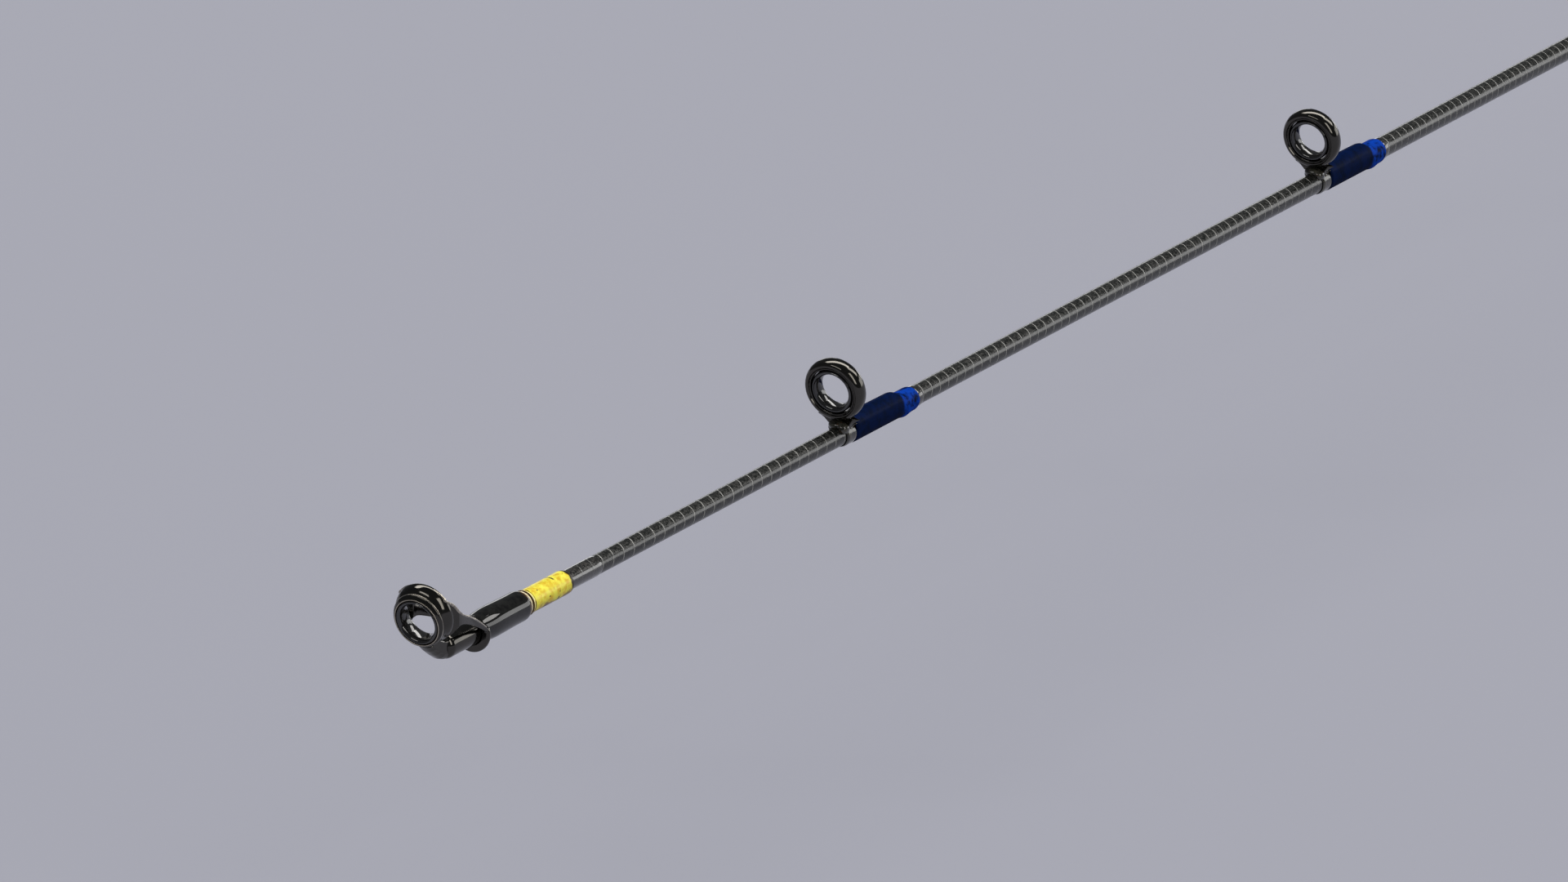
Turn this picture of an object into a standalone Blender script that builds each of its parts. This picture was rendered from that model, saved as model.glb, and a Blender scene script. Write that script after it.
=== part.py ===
"""A two-piece casting rod: carbon blank, guides and tip-top under thread wraps, grips and trigger reel seat.

Metres, +Z up. The rod lies along +X from the centre of its butt face, with the guides on top.
Distances along the rod are from the butt face, unless a name says from_tip.
"""

import math

import bmesh
import bpy
from mathutils import Matrix, Vector

MM = 0.001

# Fits between pieces
GLUE_GAP = 0.05 * MM
SEAT_GAP = 0.3 * MM
RUNNING_GAP = 0.3 * MM

# Roundness: the blank and all that is glued on it share their facets
FACETS = 20
FACET_ANGLE = 2 * math.pi / FACETS
RING_FACETS = 18
TOP = math.pi / 2

# Blank: its diameter grows faster towards the butt, and EVEN_TAPER is the share that grows evenly
ROD_LENGTH = 1978 * MM
TIP_DIAMETER = 1.99 * MM
BUTT_DIAMETER = 12.95 * MM
EVEN_TAPER = 0.3115
WALL_AT_TIP = 0.55 * MM
WALL_AT_BUTT = 1.1 * MM

# Ferrule
TIP_SECTION_LENGTH = 988 * MM
JOINT_OPENING = 3 * MM
SPIGOT_IN_BUTT = 50 * MM
SPIGOT_IN_TIP = 62 * MM
SPIGOT_FIT = 0.05 * MM
SPIGOT_LEAD = 1.5 * MM
FERRULE_WRAP_LENGTH = 34 * MM
FERRULE_WRAP_INSET = 3 * MM

# Thread wraps
WRAP_THICKNESS = 0.17 * MM
WRAP_END_THICKNESS = 0.07 * MM
WRAP_END_TAPER = 0.7 * MM

# Tip-top
TIP_LEAN = math.radians(11)
TIP_RING_HEIGHT = 4.04 * MM
TIP_FRAME_WALL = 0.7 * MM
TIP_FRAME_RISE = 0.3 * MM
TIP_FRAME_FRONT = 0.9 * MM
TIP_FRAME_BACK = 1.1 * MM
TIP_FRAME_TAPER = 0.6 * MM
TIP_INSERT_WALL = 0.65 * MM
TIP_INSERT_WIDTH = 2.1 * MM
TIP_HOLE_RADIUS = 1.85 * MM
TIP_TUBE_WALL = 0.3 * MM
TIP_TUBE_FROM_RING = 3.2 * MM
TIP_TUBE_LENGTH = 12.5 * MM
TIP_TUBE_NOSE = 1.0 * MM
COLLAR_FROM_RING = 9.1 * MM
COLLAR_WALL = 0.79 * MM
COLLAR_TOP_WALL = 0.19 * MM
COLLAR_THICKNESS = 0.6 * MM
BRACE_THICKNESS = 0.45 * MM
BRACE_TOP_ABOVE_CENTRE = 0.75 * MM
BRACE_TOP_ON_COLLAR = 0.5 * MM
BRACE_CROWN = 0.6 * MM
BRACE_FOOT_BELOW_CENTRE = 0.55 * MM
BRACE_FOOT_ON_COLLAR = -0.4 * MM
TIP_WRAP_START_THICKNESS = 0.17 * MM
TIP_WRAP_THICKNESS = 0.2 * MM
TIP_WRAP_SAG = 0.08 * MM
TIP_WRAP_EASE = 0.06 * MM
TIP_WRAP_SHOULDER = 0.9 * MM
TRIM_WRAP_FROM_RING = 18.2 * MM
TRIM_WRAP_LENGTH = 8.3 * MM
TRIM_EPOXY_LENGTH = 5.6 * MM
TRIM_WRAP_THICKNESS = 0.2 * MM
TRIM_WRAP_EASE = 0.05 * MM

# Guide train
FIRST_GUIDE_FROM_TIP = 80 * MM
GUIDES_ON_TIP_SECTION = 7
FERRULE_CLEARANCE = 2.8 * MM
SPACING_GROWTH = 1.12
GUIDE_LEAN = math.radians(10)
MICRO_HOLE = 1.78 * MM
SIXTH_HOLE = 2.3 * MM
SEVENTH_HOLE = 3.2 * MM
STRIPPER_HOLE = 4.4 * MM
HOLE_RADII = (MICRO_HOLE,) * 5 + (SIXTH_HOLE, SEVENTH_HOLE, STRIPPER_HOLE)
INSERT_WALL = 0.72 * MM
INSERT_WIDTH = 1.75 * MM
INSERT_ROUND = 0.55 * MM
FRAME_WALL = 0.93 * MM
FRAME_ROUND = 0.6 * MM
FRAME_EASE = 0.12 * MM
FRAME_WIDTH = 1.9 * MM
NECK_CLEARANCE = 0.89 * MM
NECK_RISE = 1.2
NECK_WIDTH = 2.4 * MM
NECK_THICKNESS = 0.5 * MM
NECK_BEND = 0.5 * MM
NECK_REACH = 0.8 * MM
FOOT_LENGTH = 10.4 * MM
FOOT_WIDTH = 2.1 * MM
FOOT_END_THICKNESS = 0.18 * MM
WRAP_FROM_RING = 2.3 * MM
WRAP_PAST_FOOT = 5.7 * MM
FOOT_STEP = 0.1 * MM
HUMP_RUN_OUT = 1.1 * MM

# Stripper guide, which stands on two feet
STRIPPER_CLEARANCE = 4.6 * MM
STRIPPER_STRUT = 1.1 * MM
STRIPPER_STRUT_ANGLE = math.radians(48)
STRIPPER_BEND = 1.6 * MM
STRIPPER_FRONT_REACH = 3.2 * MM
STRIPPER_REAR_REACH = 11 * MM
STRIPPER_FOOT_LENGTH = 12 * MM
STRIPPER_FOOT_WIDTH = 2.6 * MM

# Handle
BUTT_CAP_RADIUS = 14.6 * MM
BUTT_CAP_LENGTH = 14 * MM
BUTT_CAP_FLOOR = 4 * MM
BUTT_CAP_WALL = 1.8 * MM
BUTT_CAP_ROUND = 2.2 * MM
REAR_GRIP_END = 96 * MM
REAR_GRIP_RADIUS = 13.9 * MM
REAR_GRIP_WAIST = 12.1 * MM
REAR_GRIP_NOSE = 9.6 * MM
GRIP_RING_LENGTH = 3 * MM
GRIP_RING_RISE = 0.5 * MM
HANDLE_GRIP_START = 206 * MM
HANDLE_GRIP_RISE = 0.2 * MM
HANDLE_GRIP_NOSE = 9.4 * MM
GRIP_ROUND = 2.5 * MM

# Reel seat
SEAT_START = 256 * MM
SEAT_LENGTH = 118 * MM
SEAT_WALL = 3.2 * MM
SEAT_FLARE = 1.8 * MM
DECK_WALL = 1.6 * MM
SEAT_STEP = 0.1 * MM
REEL_FOOT_LENGTH = 62 * MM
HOOD_POCKET_DEPTH = 14 * MM
HOOD_POCKET_HEIGHT = 4.8 * MM
HOOD_POCKET_WIDTH = 15 * MM
HOOD_WALL = 2.3 * MM
HOOD_END_WALL = 5 * MM
HOOD_EDGE = 0.6 * MM
HOOD_SQUARENESS = 3
POCKET_MOUTH = 2 * MM
FIXED_HOOD_FROM_START = 19 * MM
HOOD_COLLAR_WALL = 1.8 * MM
THREAD_LENGTH = 41 * MM
THREAD_PITCH = 2.5 * MM
THREAD_RELIEF = 0.4 * MM
THREAD_DEPTH = 0.7 * MM
NUT_LENGTH = 11 * MM
NUT_WALL = 2.3 * MM
NUT_FLUTE = 0.55 * MM
NUT_FLUTES = 15
ARBOR_WALL = 1.7595 * MM
ARBOR_LENGTH = 20 * MM
ARBOR_COUNT = 3
TRIGGER_FROM_START = 40 * MM
TRIGGER_DEPTH = 31 * MM
TRIGGER_ROOT_INSET = 1.4 * MM
TRIGGER_ROOT_LENGTH = 17 * MM
TRIGGER_ROOT_WIDTH = 12.5 * MM
TRIGGER_TIP_LENGTH = 5.5 * MM
TRIGGER_TIP_WIDTH = 8.5 * MM
TRIGGER_HOOK = 7 * MM

# Fore grip
FORE_GRIP_LENGTH = 27 * MM
FORE_GRIP_RISE = 1.2 * MM
CHECK_LENGTH = 3.2 * MM
CHECK_WALL = 1.82 * MM

# Hook keeper
KEEPER_FROM_CHECK = 20.2 * MM
KEEPER_SPAN = 9 * MM
KEEPER_HEIGHT = 5.2 * MM
KEEPER_WIRE = 1.1 * MM
KEEPER_FOOT = 6 * MM
KEEPER_WRAP_OVERRUN = 2.5 * MM


def from_tip(distance):
    """Distance from the butt of a place that is given from the tip-top ring."""
    return ROD_LENGTH - distance


def blank_radius(x):
    """Outer radius of the blank."""
    share = (ROD_LENGTH - x) / ROD_LENGTH
    growth = EVEN_TAPER * share + (1 - EVEN_TAPER) * share * share
    return 0.5 * (TIP_DIAMETER + (BUTT_DIAMETER - TIP_DIAMETER) * growth)


def bore_radius(x):
    """Inner radius of the blank."""
    wall = WALL_AT_BUTT + (WALL_AT_TIP - WALL_AT_BUTT) * x / ROD_LENGTH
    return blank_radius(x) - wall


# Sizes and places that follow from the blank and from the walls round it
JOINT_FROM_BUTT = from_tip(TIP_SECTION_LENGTH)
TIP_INSERT_RADIUS = TIP_HOLE_RADIUS + TIP_INSERT_WALL
TIP_FRAME_RADIUS = TIP_INSERT_RADIUS + GLUE_GAP + TIP_FRAME_WALL
TIP_TUBE_RADIUS = blank_radius(from_tip(TIP_TUBE_FROM_RING + TIP_TUBE_LENGTH)) + GLUE_GAP + TIP_TUBE_WALL
COLLAR_RADIUS = TIP_TUBE_RADIUS + GLUE_GAP + COLLAR_WALL
COLLAR_TOP_RADIUS = TIP_TUBE_RADIUS + GLUE_GAP + COLLAR_TOP_WALL
TIP_WRAP_START_RADIUS = TIP_TUBE_RADIUS + GLUE_GAP + TIP_WRAP_START_THICKNESS
TIP_WRAP_RADIUS = TIP_TUBE_RADIUS + GLUE_GAP + TIP_WRAP_THICKNESS
TRIM_WRAP_RADIUS = blank_radius(from_tip(TRIM_WRAP_FROM_RING)) + GLUE_GAP + TRIM_WRAP_THICKNESS
SEAT_BORE = blank_radius(SEAT_START) + ARBOR_WALL + 2 * GLUE_GAP
SEAT_RADIUS = SEAT_BORE + SEAT_WALL
SEAT_REAR_RADIUS = SEAT_RADIUS + SEAT_FLARE
DECK_HEIGHT = SEAT_BORE + DECK_WALL
HOOD_COLLAR_RADIUS = SEAT_RADIUS + RUNNING_GAP + HOOD_COLLAR_WALL
THREAD_CREST = SEAT_RADIUS - THREAD_RELIEF
NUT_RADIUS = THREAD_CREST + RUNNING_GAP + NUT_WALL
HANDLE_GRIP_RADIUS = SEAT_REAR_RADIUS + HANDLE_GRIP_RISE
FORE_GRIP_RADIUS = SEAT_RADIUS + FORE_GRIP_RISE


def spread(start, end, count):
    """Evenly spaced values, both ends included."""
    return [start + (end - start) * i / (count - 1) for i in range(count)]


def ease(value):
    """A smooth step from 0 to 1."""
    value = min(max(value, 0.0), 1.0)
    return value * value * (3 - 2 * value)


def clear_scene():
    for item in list(bpy.data.objects):
        bpy.data.objects.remove(item, do_unlink=True)


def finish(name, colour, roughness, metallic=0.0, coat=0.0):
    """A material with the look of one finish."""
    material = bpy.data.materials.new(name)
    material.use_nodes = True
    shader = material.node_tree.nodes["Principled BSDF"]
    shader.inputs["Base Color"].default_value = (*colour, 1.0)
    shader.inputs["Roughness"].default_value = roughness
    shader.inputs["Metallic"].default_value = metallic
    shader.inputs["Coat Weight"].default_value = coat
    return material


def group(name, x, parent=None):
    """An empty on the rod's axis that carries the pieces of one body."""
    empty = bpy.data.objects.new(name, None)
    empty.location = (x - (parent.matrix_basis.translation.x if parent else 0.0), 0, 0)
    empty.parent = parent
    empty["from_butt"] = x
    bpy.context.scene.collection.objects.link(empty)
    return empty


def add_piece(name, shape, material, body=None, x=0.0):
    """An object from a bmesh whose own zero lies at x on the rod's axis."""
    bmesh.ops.recalc_face_normals(shape, faces=shape.faces)
    if shape.calc_volume(signed=True) < 0:
        bmesh.ops.reverse_faces(shape, faces=shape.faces)
    mesh = bpy.data.meshes.new(name)
    shape.to_mesh(mesh)
    shape.free()
    mesh.shade_smooth()
    mesh.set_sharp_from_angle(angle=math.radians(40))
    mesh.materials.append(material)
    piece = bpy.data.objects.new(name, mesh)
    bpy.context.scene.collection.objects.link(piece)
    piece.location = (x - (body["from_butt"] if body else 0.0), 0, 0)
    piece.parent = body
    return piece


def combine(piece, helper, operation):
    """Joins a helper to a piece, or cuts it away, with a Boolean that stays on the piece."""
    helper.parent = piece.parent
    helper.hide_render = True
    helper.display_type = "WIRE"
    modifier = piece.modifiers.new(helper.name, "BOOLEAN")
    modifier.operation = operation
    modifier.solver = "EXACT"
    modifier.object = helper


def loft(rings, looped=False):
    """Skins rings of equally many points; a looped loft closes on itself, others get flat ends."""
    shape = bmesh.new()
    loops = [[shape.verts.new(point) for point in ring] for ring in rings]
    pairs = list(zip(loops, loops[1:]))
    if looped:
        pairs.append((loops[-1], loops[0]))
    for near, far in pairs:
        for i in range(len(near)):
            j = (i + 1) % len(near)
            shape.faces.new((near[i], near[j], far[j], far[i]))
    if not looped:
        shape.faces.new(loops[0])
        shape.faces.new(loops[-1])
    return shape


def circle_at(x, radius, facets=FACETS, angles=None):
    """Points round the rod's axis; radius is a number or a function of the angle from +Y towards +Z."""
    points = []
    for angle in angles or [2 * math.pi * i / facets for i in range(facets)]:
        reach = radius(angle) if callable(radius) else radius
        points.append(Vector((x, reach * math.cos(angle), reach * math.sin(angle))))
    return points


def turned_sleeve(outer, inner, facets=FACETS):
    """A tube from outer and inner (x, radius) points, both listed in the direction of +X."""
    rings = [circle_at(x, radius, facets) for x, radius in outer]
    rings += [circle_at(x, radius, facets) for x, radius in reversed(inner)]
    return loft(rings, looped=True)


def solid_of_rings(profile, facets=FACETS):
    """A closed bar from (x, radius) points."""
    return loft([circle_at(x, radius, facets) for x, radius in profile])


def hoop_ring(outer, inner, width, corner, facets):
    """The metal hoop of a guide about the X axis, rounded on its outside."""
    half = width / 2
    bulge = corner * (1 - math.sqrt(0.5))
    side = [(half, inner), (half, outer - corner), (half - bulge, outer - bulge), (half - corner, outer)]
    profile = side + [(-x, radius) for x, radius in reversed(side)]
    return loft([circle_at(x, radius, facets) for x, radius in profile], looped=True)


def ceramic_ring(outer, inner, width, corner, facets):
    """A ceramic ring about the X axis, rounded where the line runs."""
    half = width / 2
    bulge = corner * (1 - math.sqrt(0.5))
    side = [(half, outer), (half, inner + corner), (half - bulge, inner + bulge), (half - corner, inner)]
    profile = side + [(-x, radius) for x, radius in reversed(side)]
    return loft([circle_at(x, radius, facets) for x, radius in profile], looped=True)


def lean(shape, angle, height):
    """Tips a ring forward about its own centre and lifts it above the rod's axis."""
    turn = Matrix.Rotation(angle, 4, "Y")
    bmesh.ops.transform(shape, matrix=Matrix.Translation((0, 0, height)) @ turn, verts=shape.verts)


clear_scene()

CARBON = finish("carbon_blank", (0.03, 0.03, 0.032), 0.28, coat=0.6)
GUIDE_BLACK = finish("guide_black", (0.012, 0.012, 0.013), 0.14, metallic=0.6, coat=0.5)
CERAMIC = finish("ring_ceramic", (0.02, 0.02, 0.022), 0.08)
BLUE_THREAD = finish("blue_thread", (0.0, 0.02, 0.26), 0.2, coat=0.8)
GOLD_THREAD = finish("gold_thread", (0.85, 0.56, 0.04), 0.3, metallic=0.7, coat=0.8)
BLACK_THREAD = finish("black_thread", (0.01, 0.01, 0.01), 0.15, coat=0.8)
EVA_FOAM = finish("grip_foam", (0.02, 0.02, 0.02), 0.85)
SEAT_PLASTIC = finish("seat_plastic", (0.03, 0.03, 0.032), 0.35)
BLUE_METAL = finish("blue_metal", (0.02, 0.08, 0.4), 0.25, metallic=1.0)
RUBBER = finish("butt_rubber", (0.015, 0.015, 0.015), 0.7)
ARBOR_FOAM = finish("arbor_fibre", (0.5, 0.42, 0.3), 0.8)

butt_body = group("butt_section", 0.0)
tip_body = group("tip_section", JOINT_FROM_BUTT)

# The two sections of the blank, and the plug that joins them
BUTT_BLANK_START = BUTT_CAP_FLOOR + SEAT_GAP
BUTT_BLANK_END = JOINT_FROM_BUTT - JOINT_OPENING
TIP_BLANK_END = from_tip(TIP_TUBE_FROM_RING + TIP_TUBE_NOSE + SEAT_GAP)


def make_blank(name, start, end, body, count):
    """One hollow section of the blank."""
    stations = spread(start, end, count)
    outer = [(x - start, blank_radius(x)) for x in stations]
    inner = [(x - start, bore_radius(x)) for x in stations]
    add_piece(name, turned_sleeve(outer, inner), CARBON, body, start)


def make_spigot():
    """The plug in the joint, tapered as the bore of the section that slides on it."""
    start = BUTT_BLANK_END - SPIGOT_IN_BUTT
    end = JOINT_FROM_BUTT + SPIGOT_IN_TIP
    shoulder = end - SPIGOT_LEAD
    profile = [(x - start, bore_radius(x) - SPIGOT_FIT) for x in (start, shoulder)]
    profile.append((end - start, bore_radius(end) - SPIGOT_FIT - SPIGOT_LEAD / 3))
    add_piece("ferrule_spigot", solid_of_rings(profile), CARBON, butt_body, start)


make_blank("butt_blank", BUTT_BLANK_START, BUTT_BLANK_END, butt_body, 6)
make_blank("tip_blank", JOINT_FROM_BUTT, TIP_BLANK_END, tip_body, 6)
make_spigot()


def thread_wrap(name, start, end, material, body, rise=WRAP_THICKNESS):
    """A wrap of thread under epoxy, straight round the blank, with thin rounded ends."""
    inset = min(WRAP_END_TAPER, (end - start) / 3)
    outer = [
        (start, WRAP_END_THICKNESS), (start + inset, rise),
        (end - inset, rise), (end, WRAP_END_THICKNESS),
    ]
    outer = [(x - start, blank_radius(x) + GLUE_GAP + height) for x, height in outer]
    inner = [(x - start, blank_radius(x) + GLUE_GAP) for x in (start, end)]
    add_piece(name, turned_sleeve(outer, inner), material, body, start)


thread_wrap(
    "butt_ferrule_wrap", BUTT_BLANK_END - FERRULE_WRAP_INSET - FERRULE_WRAP_LENGTH,
    BUTT_BLANK_END - FERRULE_WRAP_INSET, BLUE_THREAD, butt_body,
)
thread_wrap(
    "tip_ferrule_wrap", JOINT_FROM_BUTT + FERRULE_WRAP_INSET,
    JOINT_FROM_BUTT + FERRULE_WRAP_INSET + FERRULE_WRAP_LENGTH, BLUE_THREAD, tip_body,
)

# Tip-top: a small tube over the end of the blank carries the frame and its ceramic ring


def make_tip_tube():
    """The tube, closed by a rounded nose at its front."""
    front = from_tip(TIP_TUBE_FROM_RING)
    rear = front - TIP_TUBE_LENGTH
    floor = front - TIP_TUBE_NOSE
    nose = TIP_TUBE_NOSE / 2
    profile = [
        (floor, blank_radius(floor) + GLUE_GAP), (rear, blank_radius(rear) + GLUE_GAP),
        (rear, TIP_TUBE_RADIUS), (front - nose, TIP_TUBE_RADIUS),
        (front - nose / 3, TIP_TUBE_RADIUS - nose / 3), (front, TIP_TUBE_RADIUS - nose),
    ]
    rings = [circle_at(x - rear, radius) for x, radius in profile]
    add_piece("tip_top_tube", loft(rings), GUIDE_BLACK, tip_body, rear)


def brace(side):
    """One of the two narrow braces that run back from the ring to the collar, arched a little."""
    front = -TIP_FRAME_BACK * 0.4
    back = -COLLAR_FROM_RING
    mid_ring = TIP_FRAME_RADIUS - 0.5 * (TIP_FRAME_RADIUS - TIP_INSERT_RADIUS)
    rings = []
    for share in spread(0, 1, 5):
        x = front + (back - front) * share
        bow = ease(share)
        reach = mid_ring + (COLLAR_RADIUS - BRACE_THICKNESS - mid_ring) * bow
        top = (TIP_RING_HEIGHT + BRACE_TOP_ABOVE_CENTRE) * (1 - share) + BRACE_TOP_ON_COLLAR * share
        foot = (TIP_RING_HEIGHT - BRACE_FOOT_BELOW_CENTRE) * (1 - share) + BRACE_FOOT_ON_COLLAR * share
        crown = BRACE_CROWN * 4 * share * (1 - share)
        top += crown
        foot += crown
        inner = side * (reach - BRACE_THICKNESS / 2)
        outer = side * (reach + BRACE_THICKNESS / 2)
        rings.append([
            Vector((x, inner, foot)), Vector((x, outer, foot)),
            Vector((x, outer, top)), Vector((x, inner, top)),
        ])
    return loft(rings)


def tip_hoop():
    """The ring of the frame: narrow at its front, widest near its back, and thicker at its crown."""
    inner = TIP_INSERT_RADIUS + GLUE_GAP
    front, back = TIP_FRAME_FRONT, -TIP_FRAME_BACK
    wide = back + TIP_FRAME_TAPER
    profile = [
        (front, inner, 0), (front, inner + FRAME_EASE, 0),
        (front - TIP_FRAME_TAPER * 0.5, TIP_FRAME_RADIUS - TIP_FRAME_TAPER * 0.5, 0.6),
        (wide + TIP_FRAME_TAPER * 0.6, TIP_FRAME_RADIUS, 1), (wide, TIP_FRAME_RADIUS, 1),
        (back + FRAME_EASE, TIP_FRAME_RADIUS - TIP_FRAME_TAPER * 0.3, 1),
        (back, TIP_FRAME_RADIUS - TIP_FRAME_TAPER * 0.7, 0.6), (back, inner, 0),
    ]
    rings = []
    for x, radius, share in profile:
        lift = Vector((0, 0, TIP_FRAME_RISE * share))
        rings.append([point + lift for point in circle_at(x, radius)])
    return loft(rings, looped=True)


def make_tip_frame():
    """The stamped frame: leaning ring, two braces and the collar round the tube."""
    x = from_tip(0)
    hoop = tip_hoop()
    lean(hoop, TIP_LEAN, TIP_RING_HEIGHT)
    frame = add_piece("tip_top_frame", hoop, GUIDE_BLACK, tip_body, x)
    back = -COLLAR_FROM_RING
    bore = TIP_TUBE_RADIUS + GLUE_GAP
    edge = COLLAR_THICKNESS / 4

    def sling(trim):
        """The collar is deep below and beside the tube, and thin over its top."""
        def radius(angle):
            over = ease((math.sin(angle) - 0.15) / 0.6)
            return COLLAR_RADIUS + (COLLAR_TOP_RADIUS - COLLAR_RADIUS) * over - trim * (1 - over)
        return radius

    outer = [
        (back - COLLAR_THICKNESS / 2, sling(edge)), (back - edge, sling(0)),
        (back + edge, sling(0)), (back + COLLAR_THICKNESS / 2, sling(edge)),
    ]
    inner = [(back - COLLAR_THICKNESS / 2, bore), (back + COLLAR_THICKNESS / 2, bore)]
    collar = add_piece("tip_top_collar_form", turned_sleeve(outer, inner), GUIDE_BLACK, tip_body, x)
    combine(frame, collar, "UNION")
    for side, label in ((1, "left"), (-1, "right")):
        plate = add_piece(f"tip_top_{label}_brace_form", brace(side), GUIDE_BLACK, tip_body, x)
        combine(frame, plate, "UNION")


def make_tip_ring():
    """The ceramic ring in the tip-top frame."""
    ring = ceramic_ring(TIP_INSERT_RADIUS, TIP_HOLE_RADIUS, TIP_INSERT_WIDTH, INSERT_ROUND, RING_FACETS)
    lean(ring, TIP_LEAN, TIP_RING_HEIGHT)
    add_piece("tip_top_ring", ring, CERAMIC, tip_body, from_tip(0))


def sagging(radius, share):
    """A round of epoxy that has run down a little before it set: lower below than above."""
    return lambda angle: radius + TIP_WRAP_SAG * share * (1 - math.sin(angle)) / 2


def make_tip_wraps():
    """Black thread over the end of the tube, then the gold trim with its clear epoxy behind it."""
    trim_front = from_tip(TRIM_WRAP_FROM_RING)
    tube_rear = from_tip(TIP_TUBE_FROM_RING + TIP_TUBE_LENGTH)
    front = from_tip(COLLAR_FROM_RING) - COLLAR_THICKNESS / 2 - GLUE_GAP
    rear = trim_front + GLUE_GAP
    length = front - rear
    outer = [
        (0, sagging(TRIM_WRAP_RADIUS, 0.3)),
        (TIP_WRAP_SHOULDER * 0.4, sagging(TIP_WRAP_RADIUS - TIP_WRAP_EASE, 0.8)),
        (TIP_WRAP_SHOULDER, sagging(TIP_WRAP_RADIUS, 1)), (length, sagging(TIP_WRAP_START_RADIUS, 0)),
    ]
    step = tube_rear - rear
    inner = [
        (0, blank_radius(rear) + GLUE_GAP), (step - GLUE_GAP * 2, blank_radius(tube_rear) + GLUE_GAP),
        (step - GLUE_GAP, TIP_TUBE_RADIUS + GLUE_GAP), (length, TIP_TUBE_RADIUS + GLUE_GAP),
    ]
    add_piece("tip_top_wrap", turned_sleeve(outer, inner), BLACK_THREAD, tip_body, rear)

    rear = trim_front - TRIM_WRAP_LENGTH
    end = rear - TRIM_EPOXY_LENGTH
    outer = [
        (0, blank_radius(end) + GLUE_GAP + WRAP_END_THICKNESS),
        (TRIM_EPOXY_LENGTH * 0.8, blank_radius(rear) + GLUE_GAP + 2 * WRAP_END_THICKNESS),
        (TRIM_EPOXY_LENGTH, TRIM_WRAP_RADIUS - TRIM_WRAP_EASE),
        (TRIM_EPOXY_LENGTH + WRAP_END_TAPER, TRIM_WRAP_RADIUS),
        (trim_front - end, TRIM_WRAP_RADIUS),
    ]
    inner = [(x - end, blank_radius(x) + GLUE_GAP) for x in (end, trim_front)]
    add_piece("tip_trim_wrap", turned_sleeve(outer, inner), GOLD_THREAD, tip_body, end)


make_tip_tube()
make_tip_frame()
make_tip_ring()
make_tip_wraps()

# Guides: each is a stamped frame, a ceramic ring and the thread that ties its foot down
STRIP_POINTS = 5


def strip_section(x, z, normal, width, thickness, y=0.0):
    """A flat section across a strip whose middle is at (x, y, z)."""
    points = []
    for side in (1, -1):
        for share in spread(-side, side, STRIP_POINTS):
            out = side * thickness / 2
            points.append(Vector((x + normal[0] * out, y + share * width / 2, z + normal[1] * out)))
    return points


def foot_angle(x, width):
    """Half the angle that a foot covers on the blank."""
    return math.asin(min(0.9, width / 2 / (blank_radius(x) + GLUE_GAP)))


def foot_section(x, centre, width, thickness, up=1):
    """A section of a foot that lies on the blank, crowned in its middle."""
    low = blank_radius(x) + GLUE_GAP
    half = foot_angle(x, width)
    points = []
    for side in (1, -1):
        for share in spread(-side, side, STRIP_POINTS):
            reach = low + (thickness * (1 - 0.45 * share * share) if side > 0 else 0)
            angle = share * half
            points.append(Vector((x - centre, reach * math.sin(angle), up * reach * math.cos(angle))))
    return points


def wrap_over_foot(name, centre, near, far, foot, width, thickness, material, body, up=1):
    """A thread wrap from near to far, humped over a foot whose thickness(x) ends at foot."""
    way = 1 if far > near else -1
    fade = math.radians(40)

    def hump(x, angle):
        distance = abs(abs(angle) % (2 * math.pi) - TOP) if up > 0 else abs(angle - 3 * TOP)
        return ease((foot_angle(x, width) + FACET_ANGLE + fade - distance) / fade)

    def channel(x, angle):
        distance = abs(angle - TOP) if up > 0 else abs(angle - 3 * TOP)
        return distance < foot_angle(x, width) + FACET_ANGLE * 0.999

    def section(x, rise, covered, inside=False):
        base = blank_radius(x) + GLUE_GAP
        extra = thickness(x) + GLUE_GAP if covered else 0

        def radius(angle):
            if inside:
                return base + (extra if channel(x, angle) else 0)
            return base + rise + extra * hump(x, angle)

        return circle_at(x - centre, radius)

    past = foot + way * (GLUE_GAP + FOOT_STEP)
    low = foot + way * HUMP_RUN_OUT
    outer = [
        section(near, WRAP_END_THICKNESS, True), section(near + way * WRAP_END_TAPER, WRAP_THICKNESS, True),
        section(past, WRAP_THICKNESS, True), section(low, WRAP_THICKNESS, False),
        section(far, WRAP_END_THICKNESS, False),
    ]
    inner = [
        section(far, 0, False, True), section(past + way * FOOT_STEP, 0, False, True),
        section(past, 0, True, True), section(near, 0, True, True),
    ]
    add_piece(name, loft(outer + inner, looped=True), material, body, centre)


class Guide:
    """Sizes of one guide, worked out from its hole and its place on the blank."""

    def __init__(self, number, distance, hole):
        self.name = f"guide_{number}"
        self.centre = from_tip(distance)
        self.hole = hole
        self.insert_radius = hole + INSERT_WALL
        self.frame_radius = self.insert_radius + GLUE_GAP + FRAME_WALL
        growth = hole - MICRO_HOLE
        self.clearance = NECK_CLEARANCE + NECK_RISE * growth
        self.neck_width = NECK_WIDTH + 0.4 * growth
        self.foot_width = FOOT_WIDTH + 0.3 * growth

    def ring_height(self):
        return blank_radius(self.centre) + self.clearance + self.frame_radius * math.cos(GUIDE_LEAN)

    def foot_thickness(self, x, start, end):
        """Thickness of the ground foot at x, from full at start to thin at end."""
        share = min(max((x - start) / (end - start), 0.0), 1.0)
        return NECK_THICKNESS + (FOOT_END_THICKNESS - NECK_THICKNESS) * share


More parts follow.
